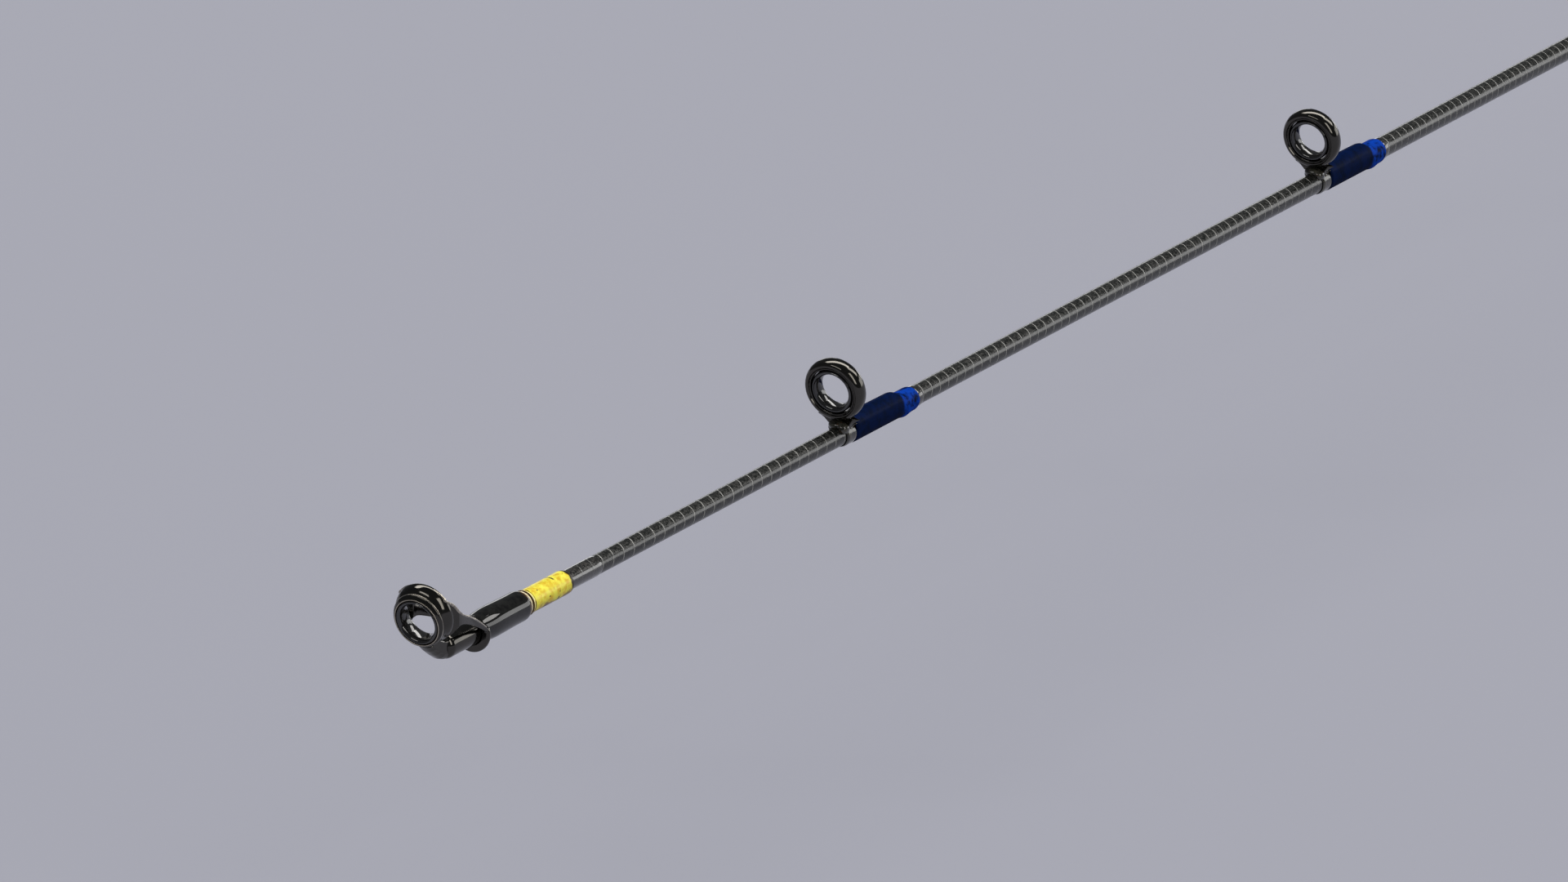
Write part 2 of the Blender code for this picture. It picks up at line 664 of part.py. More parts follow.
def make_guide_rings(guide, body):
    """The hoop of the frame and the ceramic ring in it; returns the hoop, to which the legs are joined."""
    height = guide.ring_height()
    seat = guide.insert_radius + GLUE_GAP
    hoop = hoop_ring(guide.frame_radius, seat, FRAME_WIDTH, FRAME_ROUND, RING_FACETS)
    lean(hoop, GUIDE_LEAN, height)
    ring = ceramic_ring(guide.insert_radius, guide.hole, INSERT_WIDTH, INSERT_ROUND, RING_FACETS)
    lean(ring, GUIDE_LEAN, height)
    add_piece(guide.name + "_ring", ring, CERAMIC, body, guide.centre)
    return add_piece(guide.name + "_frame", hoop, GUIDE_BLACK, body, guide.centre)


def leg_shape(guide, way, reach, bend, foot_length, foot_width):
    """A strip from the bottom of the hoop down to the blank, then along it as a ground foot."""
    height = guide.ring_height()
    hold = guide.frame_radius - FRAME_WALL / 2
    start = (-hold * math.sin(GUIDE_LEAN), height - hold * math.cos(GUIDE_LEAN))
    centre = guide.centre
    foot_z = blank_radius(centre) + GLUE_GAP + NECK_THICKNESS / 2
    turn_z = foot_z + bend
    # The neck runs straight to where its bend starts, at the given reach from the ring's plane.
    down = Vector((way * reach - start[0], turn_z - start[1]))
    slope = math.atan2(way * down.x, -down.y)
    direction = (way * math.sin(slope), -math.cos(slope))
    drop = start[1] - foot_z - bend * (1 - math.sin(slope))
    length = drop / math.cos(slope)
    rings = []
    normal = (way * math.cos(slope), math.sin(slope))
    for share in (0.0, 0.55, 1.0):
        x = start[0] + direction[0] * length * share
        z = start[1] + direction[1] * length * share
        width = guide.neck_width * (1.0 - 0.1 * ease(share * 1.5))
        rings.append(strip_section(x, z, normal, width, NECK_THICKNESS))
    bend_x = start[0] + direction[0] * length + way * bend * math.cos(slope)
    bend_z = start[1] + direction[1] * length + bend * math.sin(slope)
    for angle in spread(slope, TOP, 4)[1:]:
        middle = (bend_x - way * bend * math.cos(angle), bend_z - bend * math.sin(angle))
        normal = (way * math.cos(angle), math.sin(angle))
        rings.append(strip_section(*middle, normal, guide.neck_width * 0.92, NECK_THICKNESS))
    foot_start = centre + bend_x
    foot_end = foot_start + way * foot_length
    for share in (0.04, 0.3, 0.65, 1.0):
        x = foot_start + (foot_end - foot_start) * share
        thickness = guide.foot_thickness(x, foot_start, foot_end)
        width = foot_width * (1 - 0.35 * share)
        rings.append(foot_section(x, centre, width, thickness))
    return loft(rings), foot_start, foot_end


def make_single_foot_guide(guide, body):
    """A guide whose one foot runs towards the butt."""
    hoop = make_guide_rings(guide, body)
    length = FOOT_LENGTH - NECK_BEND - guide.frame_radius * math.sin(GUIDE_LEAN)
    shape, start, end = leg_shape(guide, -1, NECK_REACH, NECK_BEND, length, guide.foot_width)
    leg = add_piece(guide.name + "_leg_form", shape, GUIDE_BLACK, body, guide.centre)
    combine(hoop, leg, "UNION")
    near = guide.centre - WRAP_FROM_RING
    wrap_over_foot(
        guide.name + "_wrap", guide.centre, near, end - WRAP_PAST_FOOT, end, guide.foot_width,
        lambda x: guide.foot_thickness(x, start, end), BLUE_THREAD, body,
    )


def strut(guide, side, foot_x):
    """A round-edged bar from the side of the hoop down to the rear foot."""
    hold = guide.frame_radius - FRAME_WALL / 2
    height = guide.ring_height()
    drop = hold * math.cos(STRIPPER_STRUT_ANGLE)
    top = Vector((
        -drop * math.sin(GUIDE_LEAN), side * hold * math.sin(STRIPPER_STRUT_ANGLE),
        height - drop * math.cos(GUIDE_LEAN),
    ))
    foot_z = blank_radius(guide.centre) + GLUE_GAP + NECK_THICKNESS * 0.6
    low = Vector((foot_x - guide.centre, side * STRIPPER_FOOT_WIDTH / 5, foot_z))
    along = (low - top).normalized()
    across = along.cross(Vector((0, 1, 0))).normalized()
    sideways = across.cross(along).normalized()
    rings = []
    for middle in (top, top.lerp(low, 0.5), low):
        ring = []
        for i in range(8):
            angle = 2 * math.pi * (i + 0.5) / 8
            offset = across * math.sin(angle) * 0.7 + sideways * math.cos(angle)
            ring.append(middle + offset * STRIPPER_STRUT / 2)
        rings.append(ring)
    return loft(rings)


def make_stripper_guide(guide, body):
    """The guide next to the reel, on one leg to the front and two struts to the rear."""
    guide.clearance = STRIPPER_CLEARANCE
    hoop = make_guide_rings(guide, body)
    shape, start, end = leg_shape(
        guide, 1, STRIPPER_FRONT_REACH, STRIPPER_BEND, STRIPPER_FOOT_LENGTH, STRIPPER_FOOT_WIDTH
    )
    leg = add_piece(guide.name + "_front_leg_form", shape, GUIDE_BLACK, body, guide.centre)
    combine(hoop, leg, "UNION")
    wrap_over_foot(
        guide.name + "_front_wrap", guide.centre, start + STRIPPER_FOOT_LENGTH * 0.12,
        end + WRAP_PAST_FOOT * 0.6, end, STRIPPER_FOOT_WIDTH,
        lambda x: guide.foot_thickness(x, start, end), BLUE_THREAD, body,
    )
    rear = guide.centre - STRIPPER_REAR_REACH
    rear_end = rear - STRIPPER_FOOT_LENGTH
    rings = []
    for share in (-0.08, 0.0, 0.35, 0.7, 1.0):
        x = rear + (rear_end - rear) * share
        thickness = 1.5 * guide.foot_thickness(x, rear, rear_end)
        width = STRIPPER_FOOT_WIDTH * (1 - 0.35 * max(share, 0))
        rings.append(foot_section(x, guide.centre, width, thickness))
    foot = add_piece(guide.name + "_rear_foot_form", loft(rings), GUIDE_BLACK, body, guide.centre)
    combine(hoop, foot, "UNION")
    for side, label in ((1, "left"), (-1, "right")):
        shape = strut(guide, side, rear)
        bar = add_piece(f"{guide.name}_{label}_strut_form", shape, GUIDE_BLACK, body, guide.centre)
        combine(hoop, bar, "UNION")
    wrap_over_foot(
        guide.name + "_rear_wrap", guide.centre, rear - STRIPPER_FOOT_LENGTH * 0.12,
        rear_end - WRAP_PAST_FOOT * 0.6, rear_end, STRIPPER_FOOT_WIDTH,
        lambda x: 1.5 * guide.foot_thickness(x, rear, rear_end), BLUE_THREAD, body,
    )


def first_spacing():
    """Spacing of the first two guides, so that the train on the tip section ends clear of the ferrule."""
    ferrule = JOINT_FROM_BUTT + FERRULE_WRAP_INSET + FERRULE_WRAP_LENGTH
    last = ferrule + FERRULE_CLEARANCE + WRAP_PAST_FOOT + FOOT_LENGTH
    steps = sum(SPACING_GROWTH ** i for i in range(GUIDES_ON_TIP_SECTION - 1))
    return (from_tip(FIRST_GUIDE_FROM_TIP) - last) / steps


distance = FIRST_GUIDE_FROM_TIP
spacing = first_spacing()
for number, hole in enumerate(HOLE_RADII, 1):
    guide = Guide(number, distance, hole)
    body = tip_body if guide.centre > JOINT_FROM_BUTT else butt_body
    if number < len(HOLE_RADII):
        make_single_foot_guide(guide, body)
    else:
        make_stripper_guide(guide, body)
    distance += spacing
    spacing *= SPACING_GROWTH

# Handle: grips of foam glued on the butt blank, each with its bore a little over the blank


def grip(name, start, profile, material, body=butt_body):
    """A turned grip from (x, radius) points given from its own start, bored to fit the blank."""
    end = start + profile[-1][0]
    inner = [(x - start, blank_radius(x) + SEAT_GAP) for x in (start, end)]
    add_piece(name, turned_sleeve(profile, inner), material, body, start)


def make_butt_cap():
    """A rubber cup over the end of the rear grip, with the flat that the rod is stood on."""
    pocket = BUTT_CAP_RADIUS - BUTT_CAP_WALL
    lip = BUTT_CAP_ROUND / 4
    profile = [
        (BUTT_CAP_FLOOR, pocket), (BUTT_CAP_LENGTH, pocket), (BUTT_CAP_LENGTH, BUTT_CAP_RADIUS - lip),
        (BUTT_CAP_LENGTH - lip, BUTT_CAP_RADIUS), (BUTT_CAP_ROUND, BUTT_CAP_RADIUS),
        (BUTT_CAP_ROUND * 0.3, BUTT_CAP_RADIUS - BUTT_CAP_ROUND * 0.3), (0, BUTT_CAP_RADIUS - BUTT_CAP_ROUND),
    ]
    add_piece("butt_cap", loft([circle_at(x, radius) for x, radius in profile]), RUBBER, butt_body)


def make_rear_grip():
    """The long grip at the butt, stepped down at its end to fit inside the cap."""
    start = BUTT_CAP_FLOOR + SEAT_GAP
    length = REAR_GRIP_END - start
    plug = BUTT_CAP_LENGTH + SEAT_GAP - start
    inside = BUTT_CAP_RADIUS - BUTT_CAP_WALL - SEAT_GAP
    profile = [
        (0, inside), (plug, inside), (plug, REAR_GRIP_RADIUS), (length * 0.3, REAR_GRIP_RADIUS),
        (length * 0.55, REAR_GRIP_WAIST), (length * 0.85, REAR_GRIP_WAIST),
        (length - GRIP_ROUND * 0.4, REAR_GRIP_NOSE + GRIP_ROUND * 0.6), (length, REAR_GRIP_NOSE),
    ]
    grip("rear_grip", start, profile, EVA_FOAM)


def grip_ring(name, start, radius):
    """A narrow turned metal ring that finishes the end of a grip."""
    edge = GRIP_RING_LENGTH / 5
    profile = [
        (0, radius - edge), (edge, radius), (GRIP_RING_LENGTH - edge, radius),
        (GRIP_RING_LENGTH, radius - edge),
    ]
    grip(name, start, profile, BLUE_METAL)


def make_handle_grip():
    """The short grip that fairs the reel seat into the bare blank."""
    start = HANDLE_GRIP_START
    length = SEAT_START - SEAT_GAP - start
    profile = [
        (0, HANDLE_GRIP_NOSE), (GRIP_ROUND, HANDLE_GRIP_NOSE + GRIP_ROUND * 0.6),
        (length * 0.55, HANDLE_GRIP_RADIUS - GRIP_ROUND * 0.2), (length, HANDLE_GRIP_RADIUS),
    ]
    grip("handle_grip", start, profile, EVA_FOAM)


make_butt_cap()
make_rear_grip()
grip_ring("rear_grip_ring", REAR_GRIP_END + SEAT_GAP, REAR_GRIP_NOSE + GRIP_RING_RISE)
make_handle_grip()
handle_ring_start = HANDLE_GRIP_START - SEAT_GAP - GRIP_RING_LENGTH
grip_ring("handle_grip_ring", handle_ring_start, HANDLE_GRIP_NOSE + GRIP_RING_RISE)

# Reel seat: a moulded barrel with a trigger below, a fixed hood behind and a thread in front
SEAT_END = SEAT_START + SEAT_LENGTH
FIXED_POCKET_START = SEAT_START + FIXED_HOOD_FROM_START + HOOD_END_WALL
FIXED_HOOD_END = FIXED_POCKET_START + HOOD_POCKET_DEPTH
MOVING_POCKET_END = FIXED_POCKET_START + REEL_FOOT_LENGTH
MOVING_HOOD_START = MOVING_POCKET_END - HOOD_POCKET_DEPTH
MOVING_HOOD_END = MOVING_POCKET_END + HOOD_END_WALL
THREAD_START = SEAT_END - THREAD_LENGTH
HOOD_TOP = DECK_HEIGHT + HOOD_POCKET_HEIGHT + HOOD_WALL
HOOD_HALF_WIDTH = HOOD_POCKET_WIDTH / 2 + HOOD_WALL


def seat_angles():
    """The barrel's facets, with two corners set on the edges of its flat deck."""
    edge = math.asin(DECK_HEIGHT / SEAT_RADIUS)
    angles = [FACET_ANGLE * i for i in range(FACETS)]
    for corner in (edge, math.pi - edge):
        nearest = min(range(FACETS), key=lambda i: abs(angles[i] - corner))
        angles[nearest] = corner
    return angles


SEAT_ANGLES = seat_angles()


def barrel_radius(x, angle):
    """Outer radius of the barrel, flat on top where the reel foot lies, threaded at its front."""
    if x < SEAT_START + FIXED_HOOD_FROM_START:
        share = ease((x - SEAT_START) / FIXED_HOOD_FROM_START)
        return SEAT_REAR_RADIUS + (SEAT_RADIUS - SEAT_REAR_RADIUS) * share
    reach = SEAT_RADIUS
    if x > THREAD_START:
        turns = (x - THREAD_START) / THREAD_PITCH - angle / (2 * math.pi)
        ridge = abs(2 * (turns % 1.0) - 1)
        reach = THREAD_CREST - THREAD_DEPTH * ridge
    return min(reach, deck_reach(angle, DECK_HEIGHT))


def deck_reach(angle, height):
    """Distance at which a ray from the axis meets a flat at this height."""
    rise = math.sin(angle)
    return height / rise if rise > 0.3 else math.inf


def hood_reach(angle, floor):
    """Outer radius of a hood: a squarish arch over the deck that falls to the barrel on its sides."""
    rise, side = math.sin(angle), abs(math.cos(angle))
    if rise < 0:
        return floor
    arch = ((side / HOOD_HALF_WIDTH) ** HOOD_SQUARENESS + (rise / HOOD_TOP) ** HOOD_SQUARENESS)
    return max(floor, arch ** (-1 / HOOD_SQUARENESS))


def make_seat():
    """The barrel with its fixed hood, bored for the arbors, and its trigger."""
    hood_start = SEAT_START + FIXED_HOOD_FROM_START
    slope = HOOD_END_WALL * 0.8

    def section(x, hooded=0.0):
        def radius(angle):
            plain = barrel_radius(x, angle)
            floor = SEAT_RADIUS if hooded else plain
            return max(plain, plain + (hood_reach(angle, floor) - plain) * hooded)
        return circle_at(x - SEAT_START, radius, angles=SEAT_ANGLES)

    rings = [section(x) for x in spread(SEAT_START, hood_start - HOOD_END_WALL, 3)]
    rings += [section(hood_start, 0.55), section(hood_start + slope, 1.0), section(FIXED_HOOD_END, 1.0)]
    rings += [section(FIXED_HOOD_END + SEAT_STEP), section(THREAD_START - THREAD_PITCH / 2)]
    turns = int(THREAD_LENGTH / (THREAD_PITCH / 2))
    rings += [section(x) for x in spread(THREAD_START + SEAT_STEP, SEAT_END, turns + 1)]
    rings += [circle_at(x - SEAT_START, SEAT_BORE) for x in (SEAT_END, SEAT_START)]
    seat = add_piece("reel_seat", loft(rings, looped=True), SEAT_PLASTIC, butt_body, SEAT_START)
    mouth = FIXED_HOOD_END + POCKET_MOUTH
    cutter = pocket_cutter("fixed", FIXED_POCKET_START, mouth, butt_body, SEAT_START)
    combine(seat, cutter, "DIFFERENCE")
    combine(seat, trigger_form(), "UNION")


def pocket_cutter(label, start, end, body, centre):
    """The arched space in a hood that takes one end of the reel foot."""
    half = HOOD_POCKET_WIDTH / 2
    low = DECK_HEIGHT
    outline = [(half, low), (half, low + HOOD_POCKET_HEIGHT * 0.35)]
    for angle in spread(0, math.pi, 7)[1:-1]:
        outline.append((half * math.cos(angle), low + HOOD_POCKET_HEIGHT * (0.35 + 0.65 * math.sin(angle))))
    outline += [(-half, low + HOOD_POCKET_HEIGHT * 0.35), (-half, low)]
    rings = [[Vector((x - centre, y, z)) for y, z in outline] for x in (start, end)]
    return add_piece(f"{label}_hood_pocket_form", loft(rings), SEAT_PLASTIC, body, centre)


def trigger_form():
    """The finger trigger: a tongue that hangs below the barrel and hooks forward."""
    rings = []
    root = SEAT_START + TRIGGER_FROM_START
    top = SEAT_BORE + TRIGGER_ROOT_INSET
    for share in (0.0, 0.18, 0.38, 0.6, 0.82, 0.95, 1.0):
        depth = top + (TRIGGER_DEPTH - top) * share
        pinch = ease(share / 0.45)
        length = TRIGGER_ROOT_LENGTH + (TRIGGER_TIP_LENGTH - TRIGGER_ROOT_LENGTH) * pinch
        width = TRIGGER_ROOT_WIDTH + (TRIGGER_TIP_WIDTH - TRIGGER_ROOT_WIDTH) * pinch
        closing = 1.0 if share < 0.9 else (0.85 if share < 1 else 0.55)
        x = root - SEAT_START + TRIGGER_HOOK * share * share
        ring = []
        for i in range(12):
            angle = 2 * math.pi * i / 12
            offset = Vector((math.cos(angle) * length, math.sin(angle) * width, 0)) * closing / 2
            ring.append(Vector((x, 0, -depth)) + offset)
        rings.append(ring)
    return add_piece("trigger_form", loft(rings), SEAT_PLASTIC, butt_body, SEAT_START)


def make_arbors():
    """Bushings that centre the seat on the blank."""
    gap = (SEAT_LENGTH - ARBOR_COUNT * ARBOR_LENGTH) / ARBOR_COUNT
    for number in range(ARBOR_COUNT):
        start = SEAT_START + gap / 2 + number * (ARBOR_LENGTH + gap)
        profile = [(0, SEAT_BORE - GLUE_GAP), (ARBOR_LENGTH, SEAT_BORE - GLUE_GAP)]
        ends = (start, start + ARBOR_LENGTH)
        inner = [(x - start, blank_radius(x) + GLUE_GAP) for x in ends]
        shape = turned_sleeve(profile, inner)
        add_piece(f"seat_arbor_{number + 1}", shape, ARBOR_FOAM, butt_body, start)


make_seat()
make_arbors()

# The moving hood slides on the barrel, and the nut that drives it turns on the thread
hood_body = group("moving_hood_body", MOVING_HOOD_START, butt_body)
nut_body = group("locking_nut_body", MOVING_HOOD_END + RUNNING_GAP, hood_body)


def make_moving_hood():
    """A collar that keeps to the flat of the deck, with a pocket for the reel foot."""
    bore = SEAT_RADIUS + RUNNING_GAP
    flat = DECK_HEIGHT + RUNNING_GAP
    length = MOVING_HOOD_END - MOVING_HOOD_START

    def outer(trim, hooded):
        def radius(angle):
            reach = hood_reach(angle, HOOD_COLLAR_RADIUS) if hooded else HOOD_COLLAR_RADIUS
            return reach - trim
        return radius

    outside = [
        (0, outer(HOOD_EDGE, True)), (HOOD_EDGE, outer(0, True)),
        (length - HOOD_END_WALL * 0.6, outer(0, True)),
        (length - HOOD_EDGE, outer(HOOD_EDGE, False)), (length, outer(2 * HOOD_EDGE, False)),
    ]
    inside = [(x, lambda angle: min(bore, deck_reach(angle, flat))) for x in (length, 0)]
    rings = [circle_at(x, radius, angles=SEAT_ANGLES) for x, radius in outside + inside]
    hood = add_piece("moving_hood", loft(rings, looped=True), SEAT_PLASTIC, hood_body, MOVING_HOOD_START)
    mouth = MOVING_HOOD_START - POCKET_MOUTH
    cutter = pocket_cutter("moving", mouth, MOVING_POCKET_END, hood_body, MOVING_HOOD_START)
    combine(hood, cutter, "DIFFERENCE")


def make_nut():
    """The knurled nut. Its own thread is left plain, so that it clears the ridges of the barrel."""
    start = MOVING_HOOD_END + RUNNING_GAP
    step = math.pi / NUT_FLUTES
    bore = (THREAD_CREST + RUNNING_GAP) / math.cos(step / 2)
    edge = NUT_FLUTE

    def fluted(trim):
        def radius(angle):
            valley = round(angle / step) % 2
            return NUT_RADIUS - trim - NUT_FLUTE * valley
        return radius

    facets = 2 * NUT_FLUTES
    rings = [circle_at(x, fluted(trim), facets) for x, trim in (
        (0, 2 * edge), (edge, 0), (NUT_LENGTH - 2 * edge, 0), (NUT_LENGTH, 2 * edge),
    )]
    rings += [circle_at(x, bore, facets) for x in (NUT_LENGTH, 0)]
    add_piece("locking_nut", loft(rings, looped=True), BLUE_METAL, nut_body, start)


make_moving_hood()
make_nut()

# Fore grip and winding check, in front of the seat
FORE_GRIP_START = SEAT_END + SEAT_GAP
FORE_GRIP_END = FORE_GRIP_START + FORE_GRIP_LENGTH
CHECK_START = FORE_GRIP_END + SEAT_GAP
CHECK_RADIUS = blank_radius(CHECK_START) + SEAT_GAP + CHECK_WALL
FORE_GRIP_NOSE = CHECK_RADIUS + GRIP_RING_RISE


def make_fore_grip():
    profile = [
        (0, FORE_GRIP_RADIUS - GRIP_ROUND * 0.5), (GRIP_ROUND * 0.5, FORE_GRIP_RADIUS),
        (FORE_GRIP_LENGTH * 0.4, FORE_GRIP_RADIUS - GRIP_ROUND * 0.2),
        (FORE_GRIP_LENGTH * 0.8, FORE_GRIP_NOSE + GRIP_ROUND * 0.6), (FORE_GRIP_LENGTH, FORE_GRIP_NOSE),
    ]
    grip("fore_grip", FORE_GRIP_START, profile, EVA_FOAM)


def make_winding_check():
    """The small turned cup that finishes the fore grip against the blank."""
    profile = [
        (0, CHECK_RADIUS), (CHECK_LENGTH * 0.45, CHECK_RADIUS),
        (CHECK_LENGTH * 0.6, CHECK_RADIUS - CHECK_WALL * 0.27),
        (CHECK_LENGTH, CHECK_RADIUS - CHECK_WALL * 0.6),
    ]
    grip("winding_check", CHECK_START, profile, BLUE_METAL)


make_fore_grip()
make_winding_check()

# Hook keeper: a bent wire below the blank, its two flattened feet tied down by thread
KEEPER_FROM_BUTT = CHECK_START + CHECK_LENGTH + KEEPER_FROM_CHECK
KEEPER_FEET = (KEEPER_FROM_BUTT - KEEPER_SPAN / 2, KEEPER_FROM_BUTT + KEEPER_SPAN / 2)


def keeper_foot_thickness(x):
    """Thickness of the nearer foot at x: the wire's own at the loop, thin at its ground end."""
    foot = KEEPER_FEET[0] if x < KEEPER_FROM_BUTT else KEEPER_FEET[1]
    share = min(max(abs(x - foot) / KEEPER_FOOT, 0.0), 1.0)
    return KEEPER_WIRE * 0.7 + (FOOT_END_THICKNESS - KEEPER_WIRE * 0.7) * share


def make_keeper():
    """One strip: rear foot, arch below the blank, front foot."""
    rings = []
    for share in (1.0, 0.5, 0.08):
        x = KEEPER_FEET[0] - KEEPER_FOOT * share
        rings.append(foot_section(x, KEEPER_FROM_BUTT, KEEPER_WIRE * 1.2, keeper_foot_thickness(x), up=-1))
    base = blank_radius(KEEPER_FROM_BUTT) + GLUE_GAP + KEEPER_WIRE * 0.35
    for angle in spread(0, math.pi, 9):
        x = -KEEPER_SPAN / 2 * math.cos(angle)
        drop = KEEPER_HEIGHT * math.sin(angle) ** 0.7
        way = Vector((KEEPER_SPAN / 2 * math.sin(angle), KEEPER_HEIGHT * 0.7 * math.cos(angle))).normalized()
        normal = (-way.y, -way.x)
        rings.append(strip_section(x, -base - drop, normal, KEEPER_WIRE, KEEPER_WIRE * 0.8))
    for share in (0.08, 0.5, 1.0):
        x = KEEPER_FEET[1] + KEEPER_FOOT * share
        rings.append(foot_section(x, KEEPER_FROM_BUTT, KEEPER_WIRE * 1.2, keeper_foot_thickness(x), up=-1))
    add_piece("hook_keeper", loft(rings), GUIDE_BLACK, butt_body, KEEPER_FROM_BUTT)


make_keeper()
for label, foot, way in (("rear", KEEPER_FEET[0], -1), ("front", KEEPER_FEET[1], 1)):
    wrap_over_foot(
        f"keeper_{label}_wrap", KEEPER_FROM_BUTT, foot + way * KEEPER_FOOT * 0.15,
        foot + way * (KEEPER_FOOT + KEEPER_WRAP_OVERRUN), foot + way * KEEPER_FOOT, KEEPER_WIRE * 1.2,
        keeper_foot_thickness, BLUE_THREAD, butt_body, up=-1,
    )
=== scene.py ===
"""The looks of a two-piece casting rod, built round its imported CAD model.

Metres, +Z up. The rod lies along +X from its butt, with the guides on top.
"""

import math

import bpy
from mathutils import Matrix, Vector


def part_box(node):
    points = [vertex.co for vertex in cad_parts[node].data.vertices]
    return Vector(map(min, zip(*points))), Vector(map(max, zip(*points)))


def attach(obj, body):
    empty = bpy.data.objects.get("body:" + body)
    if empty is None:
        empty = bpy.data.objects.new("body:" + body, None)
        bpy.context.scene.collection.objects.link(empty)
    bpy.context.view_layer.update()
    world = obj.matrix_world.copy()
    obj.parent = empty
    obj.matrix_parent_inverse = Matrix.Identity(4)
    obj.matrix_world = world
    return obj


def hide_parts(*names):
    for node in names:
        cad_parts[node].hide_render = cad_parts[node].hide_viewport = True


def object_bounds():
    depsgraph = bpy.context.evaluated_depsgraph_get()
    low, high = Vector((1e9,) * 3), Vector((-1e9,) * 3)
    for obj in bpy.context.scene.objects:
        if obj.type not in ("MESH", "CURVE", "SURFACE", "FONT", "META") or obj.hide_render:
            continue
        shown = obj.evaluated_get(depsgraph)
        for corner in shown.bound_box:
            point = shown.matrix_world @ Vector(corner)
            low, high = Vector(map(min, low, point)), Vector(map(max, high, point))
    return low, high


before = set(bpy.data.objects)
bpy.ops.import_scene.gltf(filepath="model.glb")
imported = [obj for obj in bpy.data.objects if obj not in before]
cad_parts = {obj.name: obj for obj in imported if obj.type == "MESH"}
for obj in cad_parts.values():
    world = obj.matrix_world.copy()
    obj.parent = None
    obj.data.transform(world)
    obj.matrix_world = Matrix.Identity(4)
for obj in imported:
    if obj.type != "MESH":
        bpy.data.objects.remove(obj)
cad_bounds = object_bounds()
MM = 0.001

# The blank. Two tapered carbon tubes, rolled from resin cloth and baked under a spiral of shrink tape, which
# leaves its ridges in the bare glossy resin. A solid carbon plug, glued into the butt half, joins them.
ROD_LENGTH = 1978 * MM
TIP_DIAMETER = 1.99 * MM
BUTT_DIAMETER = 12.95 * MM
EVEN_TAPER = 0.3115
WALL_AT_TIP = 0.55 * MM
WALL_AT_BUTT = 1.1 * MM
BLANK_SIDES = 72
BLANK_STATIONS = 40


def blank_radius(x):
    """Outer radius of the blank."""
    share = (ROD_LENGTH - x) / ROD_LENGTH
    growth = EVEN_TAPER * share + (1 - EVEN_TAPER) * share * share
    return 0.5 * (TIP_DIAMETER + (BUTT_DIAMETER - TIP_DIAMETER) * growth)


def bore_radius(x):
    """Inner radius of the blank."""
    return blank_radius(x) - WALL_AT_BUTT - (WALL_AT_TIP - WALL_AT_BUTT) * x / ROD_LENGTH


def spread(start, end, count):
    """Evenly spaced values, both ends included."""
    return [start + (end - start) * i / (count - 1) for i in range(count)]


def outline(name, points):
    """A closed line through (x, z) points in the rod's upright plane, left in edit mode and selected."""
    bpy.ops.object.select_all(action="DESELECT")
    bpy.ops.mesh.primitive_circle_add(vertices=len(points))
    piece = bpy.context.object
    piece.name = name
    piece.data.name = name
    for vertex, (x, z) in zip(piece.data.vertices, points):
        vertex.co = (x, 0, z)
    bpy.ops.object.mode_set(mode="EDIT")
    bpy.ops.mesh.select_all(action="SELECT")
    return piece


def close_up(smooth_angle=35):
    """Ends the work on a closed shape: doubles merged, faces turned outwards, round parts shaded smooth."""
    bpy.ops.mesh.select_all(action="SELECT")
    bpy.ops.mesh.remove_doubles(threshold=0.001 * MM)
    bpy.ops.mesh.delete_loose()
    bpy.ops.mesh.select_all(action="SELECT")
    bpy.ops.mesh.normals_make_consistent(inside=False)
    bpy.ops.object.mode_set(mode="OBJECT")
    bpy.ops.object.shade_smooth_by_angle(angle=math.radians(smooth_angle))


def turned(name, points, sides=BLANK_SIDES, smooth_angle=35):
    """A round piece: a closed outline of (x, radius) points, spun about the rod's axis."""
    piece = outline(name, points)
    bpy.ops.mesh.spin(steps=sides, angle=2 * math.pi, center=(0, 0, 0), axis=(1, 0, 0))
    close_up(smooth_angle)
    return piece


def add_node(tree, kind, inputs=None, **settings):
    """A shader node. Each input is a number, a colour or the socket that feeds it."""
    node = tree.nodes.new("ShaderNode" + kind)
    for key, value in settings.items():
        setattr(node, key, value)
    for key, value in (inputs or {}).items():
        if isinstance(value, bpy.types.NodeSocket):
            tree.links.new(value, node.inputs[key])
        else:
            node.inputs[key].default_value = value
    return node


def calc(tree, operation, *values):
    """The result of one Math node."""
    return add_node(tree, "Math", dict(enumerate(values)), operation=operation).outputs[0]


def between(tree, value, low, high, to_low=0.0, to_high=1.0):
    """Rises smoothly from to_low to to_high while value goes from low to high."""
    inputs = {"Value": value, "From Min": low, "From Max": high, "To Min": to_low, "To Max": to_high}
    return add_node(tree, "MapRange", inputs, interpolation_type="SMOOTHSTEP").outputs[0]


def mixed(tree, share, first, second):
    """A colour between two others."""
    mix = add_node(tree, "Mix", {"Factor": share}, data_type="RGBA")
    for socket, value in ((mix.inputs[6], first), (mix.inputs[7], second)):
        if isinstance(value, bpy.types.NodeSocket):
            tree.links.new(value, socket)
        else:
            socket.default_value = (*value, 1.0)
    return mix.outputs[2]


def new_material(name, **settings):
    """A material whose constant values are set on its shader; returns the material, its tree and shader."""
    material = bpy.data.materials.new(name)
    material.use_nodes = True
    shader = material.node_tree.nodes["Principled BSDF"]
    for key, value in settings.items():
        shader.inputs[key.replace("_", " ")].default_value = value
    return material, material.node_tree, shader


def own_place(tree):
    """Object coordinates, which stay with the piece when it moves."""
    return add_node(tree, "TexCoord").outputs["Object"]


def parts_of(tree, place):
    """The x, y and z of a place."""
    return add_node(tree, "SeparateXYZ", {"Vector": place}).outputs


